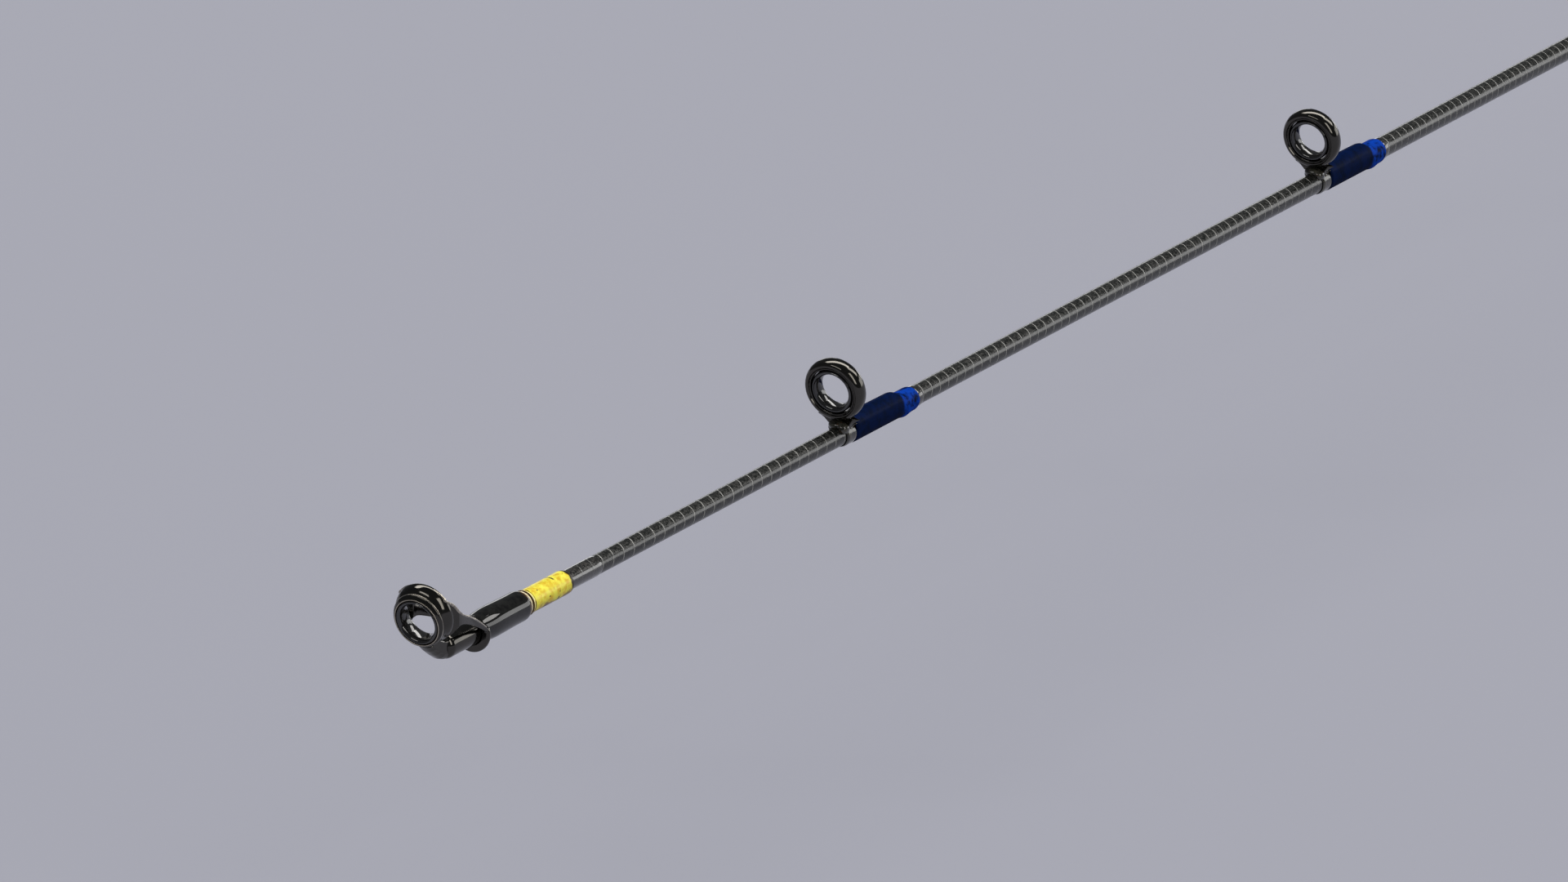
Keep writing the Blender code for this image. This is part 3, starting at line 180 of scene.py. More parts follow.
def noise(tree, place, size, detail=2.0, roughness=0.5):
    """Noise whose blotches are about size across."""
    inputs = {"Vector": place, "Scale": 1 / size, "Detail": detail, "Roughness": roughness}
    return add_node(tree, "TexNoise", inputs).outputs["Fac"]


def raise_surface(tree, shader, height, distance, strength=1.0):
    """Lets a height from 0 to 1 stand distance proud."""
    inputs = {"Height": height, "Distance": distance, "Strength": strength}
    bump = add_node(tree, "Bump", inputs)
    tree.links.new(bump.outputs["Normal"], shader.inputs["Normal"])


def wear(piece, material, body, slot, *nodes):
    """Gives a piece its finish and its body, and lets it stand for its CAD nodes."""
    piece.data.materials.clear()
    piece.data.materials.append(material)
    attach(piece, body)
    if nodes:
        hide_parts(*nodes)


def carbon_material(name, resin, cloth_and_sheen, ridge_highlight):
    """Bare rolled carbon: tape ridges with a painted highlight, mottled cloth with painted sheen, and an
    uneven gloss.
    """
    tape_pitch = 1.42 * MM
    tape_change_from = 1728 * MM
    tape_widening = 0.00047 / MM / MM
    ridge_height = 0.02 * MM
    material, tree, shader = new_material(
        name, Coat_Weight=0.12, Coat_Roughness=0.06, Coat_IOR=1.5, Specular_IOR_Level=0.5
    )
    place = own_place(tree)
    x, y, z = parts_of(tree, place)
    turn = calc(tree, "DIVIDE", calc(tree, "ARCTAN2", z, y), 2 * math.pi)
    past = calc(tree, "MAXIMUM", calc(tree, "SUBTRACT", x, tape_change_from), 0.0)
    slower = calc(tree, "MULTIPLY", calc(tree, "MULTIPLY", past, past), tape_widening)
    lay = calc(tree, "SUBTRACT", calc(tree, "ADD", calc(tree, "DIVIDE", x, tape_pitch), turn), slower)
    wander = noise(tree, place, 0.9 * MM)
    lay = calc(tree, "ADD", lay, calc(tree, "MULTIPLY", wander, 0.1))
    edge = calc(tree, "ABSOLUTE", calc(tree, "SUBTRACT", calc(tree, "FRACT", lay), 0.5))
    line = between(tree, edge, 0.45, 0.49)
    broken = between(tree, noise(tree, place, 0.5 * MM), 0.3, 0.6, 0.35, 1.0)
    mottle = noise(tree, place, 0.28 * MM, 3.0, 0.65)
    weave_and_sheen = between(tree, mottle, 0.38, 0.68)
    # The cloth's weave shows through the resin in a mottle, painted a little lighter as the fibres' sheen.
    base = mixed(tree, weave_and_sheen, resin, cloth_and_sheen)
    # The crests of the tape ridges are painted lighter, in broken lines, as their highlight.
    base = mixed(tree, calc(tree, "MULTIPLY", line, broken), base, ridge_highlight)
    tree.links.new(base, shader.inputs["Base Color"])
    tree.links.new(between(tree, mottle, 0.3, 0.7, 0.12, 0.34), shader.inputs["Roughness"])
    height = calc(tree, "ADD", calc(tree, "MULTIPLY", line, 0.8), calc(tree, "MULTIPLY", mottle, 0.5))
    raise_surface(tree, shader, height, ridge_height)
    return material


CARBON = carbon_material("bare_carbon", (0.006, 0.007, 0.006), (0.03, 0.03, 0.027), (0.34, 0.34, 0.32))


def blank_tube(name, node, body):
    """One hollow section of the blank, with its ends softly broken."""
    low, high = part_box(node)
    edge = 0.1 * MM
    stations = spread(low.x + edge, high.x - edge, BLANK_STATIONS)
    outer = [(x, blank_radius(x)) for x in stations]
    inner = [(x, bore_radius(x)) for x in stations]
    points = [(low.x, bore_radius(low.x) + edge), (low.x, blank_radius(low.x) - edge), *outer]
    points += [(high.x, blank_radius(high.x) - edge), (high.x, bore_radius(high.x) + edge), *inner[::-1]]
    wear(turned(name, points), CARBON, body, "carbon", node)


blank_tube("butt_blank_tube", "butt_blank", "butt_section")
blank_tube("tip_blank_tube", "tip_blank", "tip_section")

# The plug: tapered like the bore that it fills, with a bevel behind and a longer lead in front.
low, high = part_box("ferrule_spigot")
lead, fit = 1.5 * MM, 0.05 * MM
points = [(low.x, 0), (low.x, bore_radius(low.x) - fit - lead / 4)]
points += [(x, bore_radius(x) - fit) for x in spread(low.x + lead / 4, high.x - lead, 12)]
points += [(high.x - lead * 0.3, bore_radius(high.x) - fit - lead * 0.2)]
points += [(high.x, bore_radius(high.x) - fit - lead * 0.5), (high.x, 0)]
wear(turned("ferrule_plug", points), CARBON, "butt_section", "carbon", "ferrule_spigot")

# The tip-top. A small steel tube is glued over the end of the blank, and a stamped frame is brazed to it: a
# leaning hoop with a ceramic ring pressed in, two braces and a collar. All the steel is plated gloss black.
# Small frames are made in millimetres, 1000 times too large, and brought to their real size at the end.
UNIT = 1 / MM
GLUE_GAP = 0.05 * MM
TIP_LEAN = math.radians(11)
TIP_VOXEL, TIP_FAIRING = 0.07, 8
FINE_SIDES = 144


def ease(value):
    """A smooth step from 0 to 1."""
    value = min(max(value, 0.0), 1.0)
    return value * value * (3 - 2 * value)


def reshape(piece, move):
    """Moves each vertex of a finished mesh to where move puts it."""
    for vertex in piece.data.vertices:
        vertex.co = move(vertex.co)
    piece.data.update()


def metal_material():
    """Gloss black plating over steel, with faint ripples from the polishing."""
    material, tree, shader = new_material("black_plating", Metallic=1.0)
    place = own_place(tree)
    haze = noise(tree, place, 1.4 * MM, 4.0, 0.6)
    tree.links.new(mixed(tree, haze, (0.06, 0.058, 0.053), (0.085, 0.08, 0.072)), shader.inputs["Base Color"])
    tree.links.new(between(tree, haze, 0.3, 0.7, 0.05, 0.13), shader.inputs["Roughness"])
    raise_surface(tree, shader, noise(tree, place, 1.1 * MM, 2.0), 0.004 * MM, 0.3)
    return material


def ceramic_material():
    """Polished black ceramic, a shade warmer and rounder in its gloss than the plating."""
    material, tree, shader = new_material("black_ceramic", IOR=1.75)
    grain = noise(tree, own_place(tree), 0.25 * MM, 3.0)
    black = mixed(tree, grain, (0.006, 0.006, 0.007), (0.02, 0.019, 0.018))
    tree.links.new(black, shader.inputs["Base Color"])
    tree.links.new(between(tree, grain, 0.3, 0.7, 0.06, 0.14), shader.inputs["Roughness"])
    return material


PLATING = metal_material()
CERAMIC = ceramic_material()


def arc(centre, radii, start, end, count):
    """(x, z) points on an ellipse, from one angle to another; the angle runs from +x towards +z."""
    return [
        (centre[0] + radii[0] * math.cos(angle), centre[1] + radii[1] * math.sin(angle))
        for angle in spread(math.radians(start), math.radians(end), count)
    ]


def pick(*pieces):
    """Selects these pieces and makes the first one active."""
    bpy.ops.object.select_all(action="DESELECT")
    for piece in pieces:
        piece.select_set(True)
    bpy.context.view_layer.objects.active = pieces[0]


def settle(piece):
    """Gives a piece's own place, turn and scale to its mesh."""
    pick(piece)
    bpy.ops.object.transform_apply(location=True, rotation=True, scale=True)
    return piece


def lean_and_lift(piece, angle, x, z):
    """Tips a ring forward about its own centre and puts it at its place over the rod."""
    piece.rotation_euler = (0, angle, 0)
    piece.location = (x, 0, z)
    return settle(piece)


def at_reach(point, reach):
    """Carries a point straight out from the rod's axis, or in, to a given distance from it."""
    scale = reach / math.hypot(point.y, point.z)
    return Vector((point.x, point.y * scale, point.z * scale))


def plate(name, points, low_y, high_y, steps=1):
    """A flat plate of the given outline, from low_y to high_y across the rod."""
    piece = outline(name, points)
    bpy.ops.mesh.edge_face_add()
    bpy.ops.transform.translate(value=(0, low_y, 0))
    for step in range(steps):
        bpy.ops.mesh.extrude_region_move(TRANSFORM_OT_translate={"value": (0, (high_y - low_y) / steps, 0)})
    close_up()
    return piece


def flowing(knots, count):
    """Points on a smooth open curve through all the knots."""
    points = []
    last = len(knots) - 1
    for i in range(last):
        a, b, c, d = (Vector(knots[min(max(j, 0), last)]) for j in (i - 1, i, i + 1, i + 2))
        for step in range(count):
            t = step / count
            bend = (2 * a - 5 * b + 4 * c - d) * t * t + (3 * b - a - 3 * c + d) * t ** 3
            points.append(tuple(0.5 * (2 * b + (c - a) * t + bend)))
    return points + [knots[-1]]


def to_metres(piece):
    """Brings a piece that was made 1000 times too large to its real size."""
    piece.scale = (MM, MM, MM)
    return settle(piece)


def fuse(name, parts, voxel, fairing):
    """Joins shapes that overlap into one skin with soft fillets, and brings it to its real size."""
    pick(*parts)
    if len(parts) > 1:
        bpy.ops.object.join()
    piece = parts[0]
    piece.name = name
    piece.data.name = name
    piece.data.remesh_voxel_size = voxel
    bpy.ops.object.voxel_remesh()
    smooth = piece.modifiers.new("fairing", "SMOOTH")
    smooth.factor = 0.5
    smooth.iterations = fairing
    bpy.ops.object.modifier_apply(modifier=smooth.name)
    to_metres(piece)
    bpy.ops.object.shade_smooth()
    return piece


low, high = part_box("tip_top_ring")
TIP_RING_X = (low.x + high.x) / 2 * UNIT
TIP_RING_Z = (low.z + high.z) / 2 * UNIT

# The hoop: a flared cup, narrow in front with a fine step behind its lip, and widest at the back.
HOOP_SEAT = 2.55
HOOP_HALF_DEPTH = 1.1
CROWN_RISE = 0.3


def crown(point):
    """Lifts what lies outside the ring's seat, so that the hoop is highest at its crown."""
    reach = math.hypot(point.y, point.z)
    return point + Vector((0, 0, CROWN_RISE * ease((reach - 2.7) / 0.4)))


def tip_hoop_form(name, trim, sides):
    """The hoop's outline, spun and lifted at its crown; trim makes it smaller all over."""
    knots = [(0.93, 2.6), (0.87, 2.7), (0.7, 2.84), (0.56, 2.86), (0.46, 2.83), (0.2, 2.96), (-0.2, 3.13)]
    knots += [(-0.6, 3.24), (-0.92, 3.18), (-1.12, 2.95), (-1.12, 2.7), (-1.05, 2.55)]
    section = [(0.84, HOOP_SEAT)] + flowing(knots, 4)
    section = [(x * (1 - trim / HOOP_HALF_DEPTH), max(r - trim, HOOP_SEAT)) for x, r in section]
    hoop = turned(name, section, sides)
    reshape(hoop, crown)
    return lean_and_lift(hoop, TIP_LEAN, TIP_RING_X, TIP_RING_Z)


# The braces: strips that flow out of the hoop's sides and run back to the collar.
BRACE_START = -0.4
BRACE_END = -9.1
BRACE_HALF_THICKNESS = 0.22
HOOP_SIDE = 3.0
BRACE_SPREAD = 2.85
COLLAR_SIDE = 1.85


def brace_edges(share):
    """The brace's foot and top edge as (x, z) points, from the hoop at 0 to the collar at 1."""
    x = BRACE_START + (BRACE_END - BRACE_START) * share
    arch = 2.4 * share * (1 - share)
    flare = 1 - ease(share / 0.32)
    top = (TIP_RING_Z + 0.75) * (1 - share) + 1.4 * flare + 0.6 * share + arch
    foot = (TIP_RING_Z - 0.45) * (1 - share) - 1.2 * flare + 0.1 * share + arch
    return (x, foot), (x, top)


def bowed(point, side):
    """Carries a point of the flat brace out to the side of the hoop and in to the collar."""
    share = (point.x - BRACE_START) / (BRACE_END - BRACE_START)
    from_middle = point.z - TIP_RING_Z
    beside = math.sqrt(max(HOOP_SIDE ** 2 - from_middle ** 2, (HOOP_SIDE / 2) ** 2)) - 0.1
    beside += (BRACE_SPREAD - beside) * ease(share / 0.3)
    reach = beside + (COLLAR_SIDE - beside) * ease(share)
    return Vector((point.x + TIP_RING_X, side * reach + point.y, point.z))


def tip_brace(side):
    """One of the two braces."""
    foot, top = zip(*(brace_edges(share) for share in spread(0, 1, 19)))
    piece = plate("tip_brace", top + foot[::-1], -BRACE_HALF_THICKNESS, BRACE_HALF_THICKNESS)
    reshape(piece, lambda point: bowed(point, side))
    return piece


def tip_chin():
    """The tongue of the frame that runs from the bottom of the hoop down over the nose of the tube."""
    half_width = 0.9
    points = [(-1.3, 1.9), (-0.5, 1.5), (-0.15, 1.0), (-0.8, 0.35), (-1.7, -0.35), (-2.6, -0.95)]
    points += [(-3.3, -1.2), (-4.2, -1.2), (-4.2, 1.1), (-2.6, 1.25)]
    piece = plate("tip_chin", points, -half_width, half_width, 8)

    def round_off(point):
        """The sides are drawn in towards a sloping line through the tongue's middle, and back."""
        edge = (abs(point.y) / half_width) ** 3
        middle = 0.9 + 0.35 * (point.x + 0.9)
        drawn = point.z + (middle - point.z) * 0.45 * edge
        return Vector((point.x - 0.35 * edge + TIP_RING_X, point.y, drawn))

    reshape(piece, round_off)
    return piece


def collar():
    """The band round the tube: deep below and beside it, thin over its top."""
    bore, deep, thin, half_length, rounding = 1.41, 2.2, 1.6, 0.32, 0.2
    points = arc((BRACE_END, deep - rounding), (half_length, rounding), 0, 180, 9)
    points += [(BRACE_END - half_length, bore), (BRACE_END + half_length, bore)]
    piece = turned("tip_collar", points)

    def sling(point):
        """The band is drawn in where it passes over the tube."""
        reach = math.hypot(point.y, point.z)
        over = ease((point.z / reach - 0.15) / 0.6)
        share = (reach - bore) / (deep - bore)
        drawn_in = bore + share * (deep + (thin - deep) * over - bore)
        return at_reach(point, drawn_in) + Vector((TIP_RING_X, 0, 0))

    reshape(piece, sling)
    return piece


# The fused frame has soft fillets, and the polished hoop round its core is crisp.
parts = [tip_hoop_form("tip_hoop_core", 0.06, 72), tip_brace(1), tip_brace(-1), tip_chin(), collar()]
tip_frame = fuse("tip_top_stamped_frame", parts, TIP_VOXEL, TIP_FAIRING)
wear(tip_frame, PLATING, "tip_section", "guide_black", "tip_top_frame")
hoop = tip_hoop_form("tip_top_hoop", 0, FINE_SIDES)
wear(to_metres(hoop), PLATING, "tip_section", "guide_black")

# A fine line of bare metal shows where the ring is pressed into the hoop.
bare_metal, tree, shader = new_material("bare_rim", Metallic=1.0)
wear_and_sheen = noise(tree, own_place(tree), 0.5 * MM, 3.0)
tree.links.new(mixed(tree, wear_and_sheen, (0.32, 0.28, 0.22), (0.72, 0.66, 0.56)), shader.inputs["Base Color"])
tree.links.new(between(tree, wear_and_sheen, 0.3, 0.7, 0.3, 0.5), shader.inputs["Roughness"])
rim = turned("tip_top_rim", arc((0.9, 2.54), (0.07, 0.055), 0, 337.5, 16), 96)
lean_and_lift(rim, TIP_LEAN, TIP_RING_X, TIP_RING_Z)
wear(to_metres(rim), bare_metal, "tip_section", "guide_black")

# A painted highlight, a bead of pale satin metal, runs along the hoop's outer edge and on down the top edge
# of each brace.
EDGE_HIGHLIGHT, tree, shader = new_material("painted_edge_highlight", Metallic=1.0)
wear_and_sheen = noise(tree, own_place(tree), 0.9 * MM, 3.0)
highlight_colour = mixed(tree, between(tree, wear_and_sheen, 0.3, 0.65), (0.24, 0.22, 0.19), (0.62, 0.57, 0.49))
tree.links.new(highlight_colour, shader.inputs["Base Color"])
tree.links.new(between(tree, wear_and_sheen, 0.3, 0.7, 0.28, 0.42), shader.inputs["Roughness"])
DEGREES_ROUND_THE_HOOP = (20, 30, 40, 50, 57)
SHARES_DOWN_THE_BRACE = (0.12, 0.22, 0.34, 0.5, 0.66, 0.82, 0.95)


def highlight_bead(name, side):
    """A fine bead of painted highlight along the frame's edge, thin at both ends and fullest between hoop and
    brace.
    """
    hoop_edge_x, hoop_edge_radius = -0.72, 3.2
    knots = []
    for degrees in DEGREES_ROUND_THE_HOOP:
        angle = math.radians(degrees)
        aside, up = side * hoop_edge_radius * math.sin(angle), hoop_edge_radius * math.cos(angle)
        leaning = Matrix.Rotation(TIP_LEAN, 3, "Y") @ crown(Vector((hoop_edge_x, aside, up)))
        knots.append(leaning + Vector((TIP_RING_X, 0, TIP_RING_Z)))
    for share in SHARES_DOWN_THE_BRACE:
        x, z = brace_edges(share)[1]
        knots.append(bowed(Vector((x, side * 0.18, z - 0.01)), side))
    path = [Vector(point) for point in flowing(knots, 5)]
    last = len(path) - 1
    piece = plate(name, arc((0, 0), (1, 1), 0, 324, 10), 0, last, last)
    across = Vector((0, 0, 1))
    frames = []
    for i, point in enumerate(path):
        ahead = (path[min(i + 1, last)] - path[max(i - 1, 0)]).normalized()
        across = (across - ahead * across.dot(ahead)).normalized()
        run = i / last
        radius = 0.03 + 0.13 * ease(run / 0.3)
        radius -= 0.05 * ease((run - 0.4) / 0.3) + 0.06 * ease((run - 0.9) / 0.1)
        frames.append((point, across * radius, ahead.cross(across) * radius))

    def follow(point):
        """The straight bead is bent along the path."""
        middle, one_way, other_way = frames[round(point.y)]
        return middle + one_way * point.x + other_way * point.z

    reshape(piece, follow)
    bpy.ops.object.mode_set(mode="EDIT")
    close_up()
    wear(to_metres(piece), EDGE_HIGHLIGHT, "tip_section", "guide_black")


highlight_bead("tip_top_rubbed_edge_1", 1)
highlight_bead("tip_top_rubbed_edge_2", -1)

# The step behind the hoop's lip carries the same painted highlight, all the way round.
step_line = turned("tip_top_step_line", arc((0.5, 2.845), (0.045, 0.04), 0, 324, 10), FINE_SIDES)
reshape(step_line, crown)
lean_and_lift(step_line, TIP_LEAN, TIP_RING_X, TIP_RING_Z)
wear(to_metres(step_line), EDGE_HIGHLIGHT, "tip_section", "guide_black")

# The ring: its face stands just proud of the hoop, and its bore is rounded where the line runs.
ring_middle, ring_half_depth = 2.3, 1.02
points = arc((0, ring_middle), (ring_half_depth, 0.19), 0, 180, 11)
points += arc((0, ring_middle), (ring_half_depth, 0.45), 180, 360, 20)[1:-1]
tip_ring = turned("tip_top_ceramic", points, 96)
lean_and_lift(tip_ring, TIP_LEAN, TIP_RING_X, TIP_RING_Z)
wear(to_metres(tip_ring), CERAMIC, "tip_section", "ceramic", "tip_top_ring")

# The tube: open behind, where the blank goes in, and closed by a round nose.
low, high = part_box("tip_top_tube")
tube_end, tube_radius = low.x, high.z
nose, bevel, stop = 0.9 * MM, 0.06 * MM, high.x - MM
points = [(tube_end, blank_radius(tube_end) + GLUE_GAP), (tube_end, tube_radius - bevel)]
points += [(tube_end + bevel, tube_radius)]
points += [(x, tube_radius) for x in spread(tube_end + MM, high.x - nose - 0.2 * MM, 8)]
points += arc((high.x - nose, tube_radius - nose), (nose, nose), 90, 0, 10)
points += [(high.x, 0), (stop, 0), (stop, blank_radius(stop) + GLUE_GAP)]
wear(turned("tip_top_sleeve", points), PLATING, "tip_section", "guide_black", "tip_top_tube")

# Thread wraps. Fine nylon thread is wound side by side over each foot and over the end of the tube, and then
# soaked and built up with clear epoxy, which leaves a smooth glossy hump that hardly shows the turns.
THREAD_PITCH = 0.16 * MM


def new_group(name, inputs, outputs):
    """A group of shader nodes; returns its tree, the node of its inputs and the node of its outputs."""
    tree = bpy.data.node_groups.new(name, "ShaderNodeTree")
    for way, labels in (("INPUT", inputs), ("OUTPUT", outputs)):
        for label in labels:
            tree.interface.new_socket(label, in_out=way, socket_type="NodeSocketFloat")
    return tree, tree.nodes.new("NodeGroupInput"), tree.nodes.new("NodeGroupOutput")


def winding_group():
    """The lay of thread round the rod: how far a turn stands up, and its uneven colour."""
    tree, given, result = new_group("thread_lay", ("Pitch", "Blotch"), ("Turn", "Shade"))
    place = own_place(tree)
    x, y, z = parts_of(tree, place)
    turn = calc(tree, "DIVIDE", calc(tree, "ARCTAN2", z, y), 2 * math.pi)
    lay = calc(tree, "ADD", calc(tree, "DIVIDE", x, given.outputs["Pitch"]), turn)
    crest = calc(tree, "ABSOLUTE", calc(tree, "SUBTRACT", calc(tree, "FRACT", lay), 0.5))
    tree.links.new(between(tree, crest, 0.5, 0.0), result.inputs["Turn"])
    scale = calc(tree, "DIVIDE", 1.0, given.outputs["Blotch"])
    blotch = add_node(tree, "TexNoise", {"Vector": place, "Scale": scale, "Detail": 3.0, "Roughness": 0.6})
    tree.links.new(blotch.outputs["Fac"], result.inputs["Shade"])
    return tree


WINDING = winding_group()


def thread_material(name, dark, light, blotch, roughness, groove_shade, **settings):
    """Wound thread under clear epoxy, darker where the epoxy has wetted it over a foot, with painted shade
    between turns.
    """
    material, tree, shader = new_material(name, Coat_IOR=1.5, **settings)
    lay = add_node(tree, "Group", {"Pitch": THREAD_PITCH, "Blotch": blotch}, node_tree=WINDING)
    shade = between(tree, lay.outputs["Shade"], 0.3, 0.62)
    # The grooves between the turns are painted darker, as shade.
    shade = calc(tree, "MULTIPLY", shade, between(tree, lay.outputs["Turn"], 0.0, 0.6, groove_shade, 1.0))
    wetted = add_node(tree, "Attribute", attribute_name="over_foot").outputs["Fac"]
    shade = calc(tree, "MULTIPLY", shade, between(tree, wetted, 0.0, 1.0, 1.0, 0.06))
    tree.links.new(mixed(tree, shade, dark, light), shader.inputs["Base Color"])
    rough = between(tree, lay.outputs["Shade"], 0.3, 0.7, roughness, roughness + 0.15)
    tree.links.new(rough, shader.inputs["Roughness"])
    raise_surface(tree, shader, lay.outputs["Turn"], 0.012 * MM, 0.35)
    return material, tree, shader


BLUE_THREAD = thread_material(
    "blue_thread", (0.0009, 0.005, 0.024), (0.003, 0.052, 0.44), 0.9 * MM, 0.5, 0.8,
    Specular_IOR_Level=0.0, Coat_Weight=0.07, Coat_Roughness=0.36
)[0]
BLACK_THREAD, tree, shader = thread_material(
    "black_thread", (0.003, 0.003, 0.003), (0.012, 0.012, 0.011), 0.6 * MM, 0.5, 0.8,
    Specular_IOR_Level=0.0, Coat_Weight=1.0, Coat_Roughness=0.03
)

# The black thread's end, where the epoxy has set amber.
place = own_place(tree)
x = parts_of(tree, place)["X"]
wrap_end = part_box("tip_top_wrap")[0].x
amber = between(tree, noise(tree, place, 0.8 * MM, 2.0), 0.35, 0.6)
amber = calc(tree, "MULTIPLY", amber, between(tree, x, wrap_end + 0.75 * MM, wrap_end + 0.25 * MM))
black = shader.inputs["Base Color"].links[0].from_socket
tree.links.new(mixed(tree, amber, black, (0.13, 0.06, 0.018)), shader.inputs["Base Color"])

# Black wrap over the end of the tube, with a rounded shoulder where it meets the gold.
low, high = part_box("tip_top_wrap")
wrap_radius, shoulder, fall = 1.62 * MM, 0.8 * MM, 0.28 * MM
points = [(high.x, tube_radius + GLUE_GAP), (high.x, tube_radius + 0.2 * MM)]
for x in spread(high.x - 0.1 * MM, low.x + shoulder, 24):
    behind = high.x - x
    swelling = 0.2 * MM * ease((behind + 0.4 * MM) / (3.2 * MM))
    swelling -= 0.06 * MM * ease((behind - 3 * MM) / (4 * MM))
    points.append((x, wrap_radius - fall / 2 + swelling))
points += arc((low.x + shoulder, wrap_radius - fall), (shoulder, fall), 90, 180, 9)[1:]
points += [(low.x, blank_radius(low.x) + GLUE_GAP), (tube_end - 0.1 * MM, blank_radius(tube_end) + GLUE_GAP)]
points += [(tube_end - 0.05 * MM, tube_radius + GLUE_GAP)]
wear(turned("tip_black_wrap", points), BLACK_THREAD, "tip_section", "black_thread", "tip_top_wrap")


def bead(middle, radius, half_width, height):
    """(x, radius) points of a turned bead, or of a groove where height is below zero.

    A half_width below zero runs the points from the front to the back.
    """
    return [(middle + half_width * s, radius + height * math.cos(math.pi * s / 2)) for s in spread(-1, 1, 7)]


# Gold trim: two raised turns next to the black, then an even run with a soft end.
low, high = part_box("tip_trim_wrap")
trim_end = high.x - 8.3 * MM
gold_radius, soft_end, soft_fall = 1.27 * MM, 0.5 * MM, 0.14 * MM
points = [(high.x, blank_radius(high.x) + GLUE_GAP), (high.x, gold_radius + 0.02 * MM)]
for behind in (0.16 * MM, 0.56 * MM):
    points += bead(high.x - behind, gold_radius, -0.14 * MM, 0.11 * MM)
points += [(x, gold_radius) for x in spread(high.x - 0.85 * MM, trim_end + soft_end, 14)]
points += arc((trim_end + soft_end, gold_radius - soft_fall), (soft_end, soft_fall), 90, 180, 7)[1:]
points += [(trim_end, blank_radius(trim_end) + GLUE_GAP / 2)]
GOLD_THREAD, tree, shader = thread_material(
    "gold_thread", (0.8, 0.5, 0.01), (1.0, 0.94, 0.09), 0.8 * MM, 0.3, 0.9,
    Metallic=0.1, Specular_IOR_Level=0.2, Coat_Weight=0.22, Coat_Roughness=0.03
)
wear(turned("tip_gold_trim", points), GOLD_THREAD, "tip_section", "gold_thread", "tip_trim_wrap")

# The gold is painted brown over its lower side as shade, is stained with brown specks, and has bright and
# dark rings round it. Each ring has its distance behind the black wrap and its thickness, in millimetres, how
# unbroken it is, and its colour.
GOLD_RINGS = (
    (0.12, 0.22, 1.0, (1.0, 0.9, 0.62)),
    (0.45, 0.13, 1.0, (0.05, 0.02, 0.002)),
    (0.7, 0.17, 1.0, (1.0, 0.9, 0.55)),
    (0.98, 0.12, 0.5, (0.08, 0.03, 0.002)),
    (5.45, 0.16, 0.0, (0.03, 0.01, 0.001)),
)
place = own_place(tree)
x, y, z = parts_of(tree, place)
gold = shader.inputs["Base Color"].links[0].from_socket
# Painted shade: brown in patches over the lower side, and solid along the bottom.
underside_shade = between(tree, noise(tree, place, 1.5 * MM, 3.0, 0.6), 0.5, 0.66)
underside_shade = calc(tree, "ADD", underside_shade, between(tree, z, -0.55 * MM, -1.2 * MM))
underside_shade = calc(tree, "MULTIPLY", underside_shade, between(tree, z, 0.1 * MM, -0.9 * MM))
specks = between(tree, noise(tree, place, 0.5 * MM, 2.0), 0.7, 0.76)
gold = mixed(tree, calc(tree, "MAXIMUM", underside_shade, specks), gold, (0.11, 0.035, 0.002))
broken = between(tree, noise(tree, place, 0.7 * MM, 1.0), 0.42, 0.5)
for behind, thickness, whole, colour in GOLD_RINGS:
    away = calc(tree, "ABSOLUTE", calc(tree, "SUBTRACT", x, high.x - behind * MM))
    line = between(tree, away, thickness * MM, thickness * MM * 0.5)
    line = calc(tree, "MULTIPLY", line, calc(tree, "MAXIMUM", broken, whole))
    gold = mixed(tree, line, gold, colour)
wavy = calc(tree, "MULTIPLY", noise(tree, place, 0.9 * MM, 1.0), 0.9 * MM)
soaked = between(tree, calc(tree, "SUBTRACT", x, wavy), trim_end + 0.2 * MM, trim_end - 0.02 * MM)
gold = mixed(tree, soaked, gold, (0.02, 0.012, 0.004))
tree.links.new(gold, shader.inputs["Base Color"])

# The clear epoxy that runs on from the gold over the bare blank.
EPOXY = carbon_material("epoxy_over_carbon", (0.006, 0.006, 0.005), (0.03, 0.027, 0.022), (0.05, 0.05, 0.045))
EPOXY.node_tree.nodes["Principled BSDF"].inputs["Coat Weight"].default_value = 1.0
film, run_from = 0.03 * MM, trim_end - 0.02 * MM
points = [(x, blank_radius(x) + GLUE_GAP / 2 + film) for x in spread(run_from, low.x + 0.3 * MM, 10)]
points += [(low.x, blank_radius(low.x) + GLUE_GAP / 4)]
points += [(run_from, blank_radius(trim_end) + GLUE_GAP / 4)]
wear(turned("tip_trim_epoxy", points), EPOXY, "tip_section", "carbon")

# The guides. Each is a stamped steel frame, plated gloss black, with a ceramic ring pressed into its hoop.
# Seven stand on one foot; the eighth, nearest the reel, has a front leg and a pair of rear struts.
GUIDE_LEAN = math.radians(10)
GUIDES = [f"guide_{number}" for number in range(1, 9)]
GUIDE_VOXEL, STRIPPER_VOXEL, GUIDE_FAIRING = 0.075, 0.11, 10
SMALLEST_SEAT = 2.5


def guide_body(name):
    """The half of the rod that carries a guide: the last guide stands on the butt section."""
    return "butt_section" if name == GUIDES[-1] else "tip_section"


def blank_top(x):
    """How high the glue on top of the blank is at x, both in millimetres."""
    return (blank_radius(x * MM) + GLUE_GAP) * UNIT


def guide_centre(name):
    """The middle of a guide's ring, and its outer radius, in millimetres."""
    low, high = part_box(name + "_ring")
    return (low.x + high.x) / 2 * UNIT, (low.z + high.z) / 2 * UNIT, high.y * UNIT


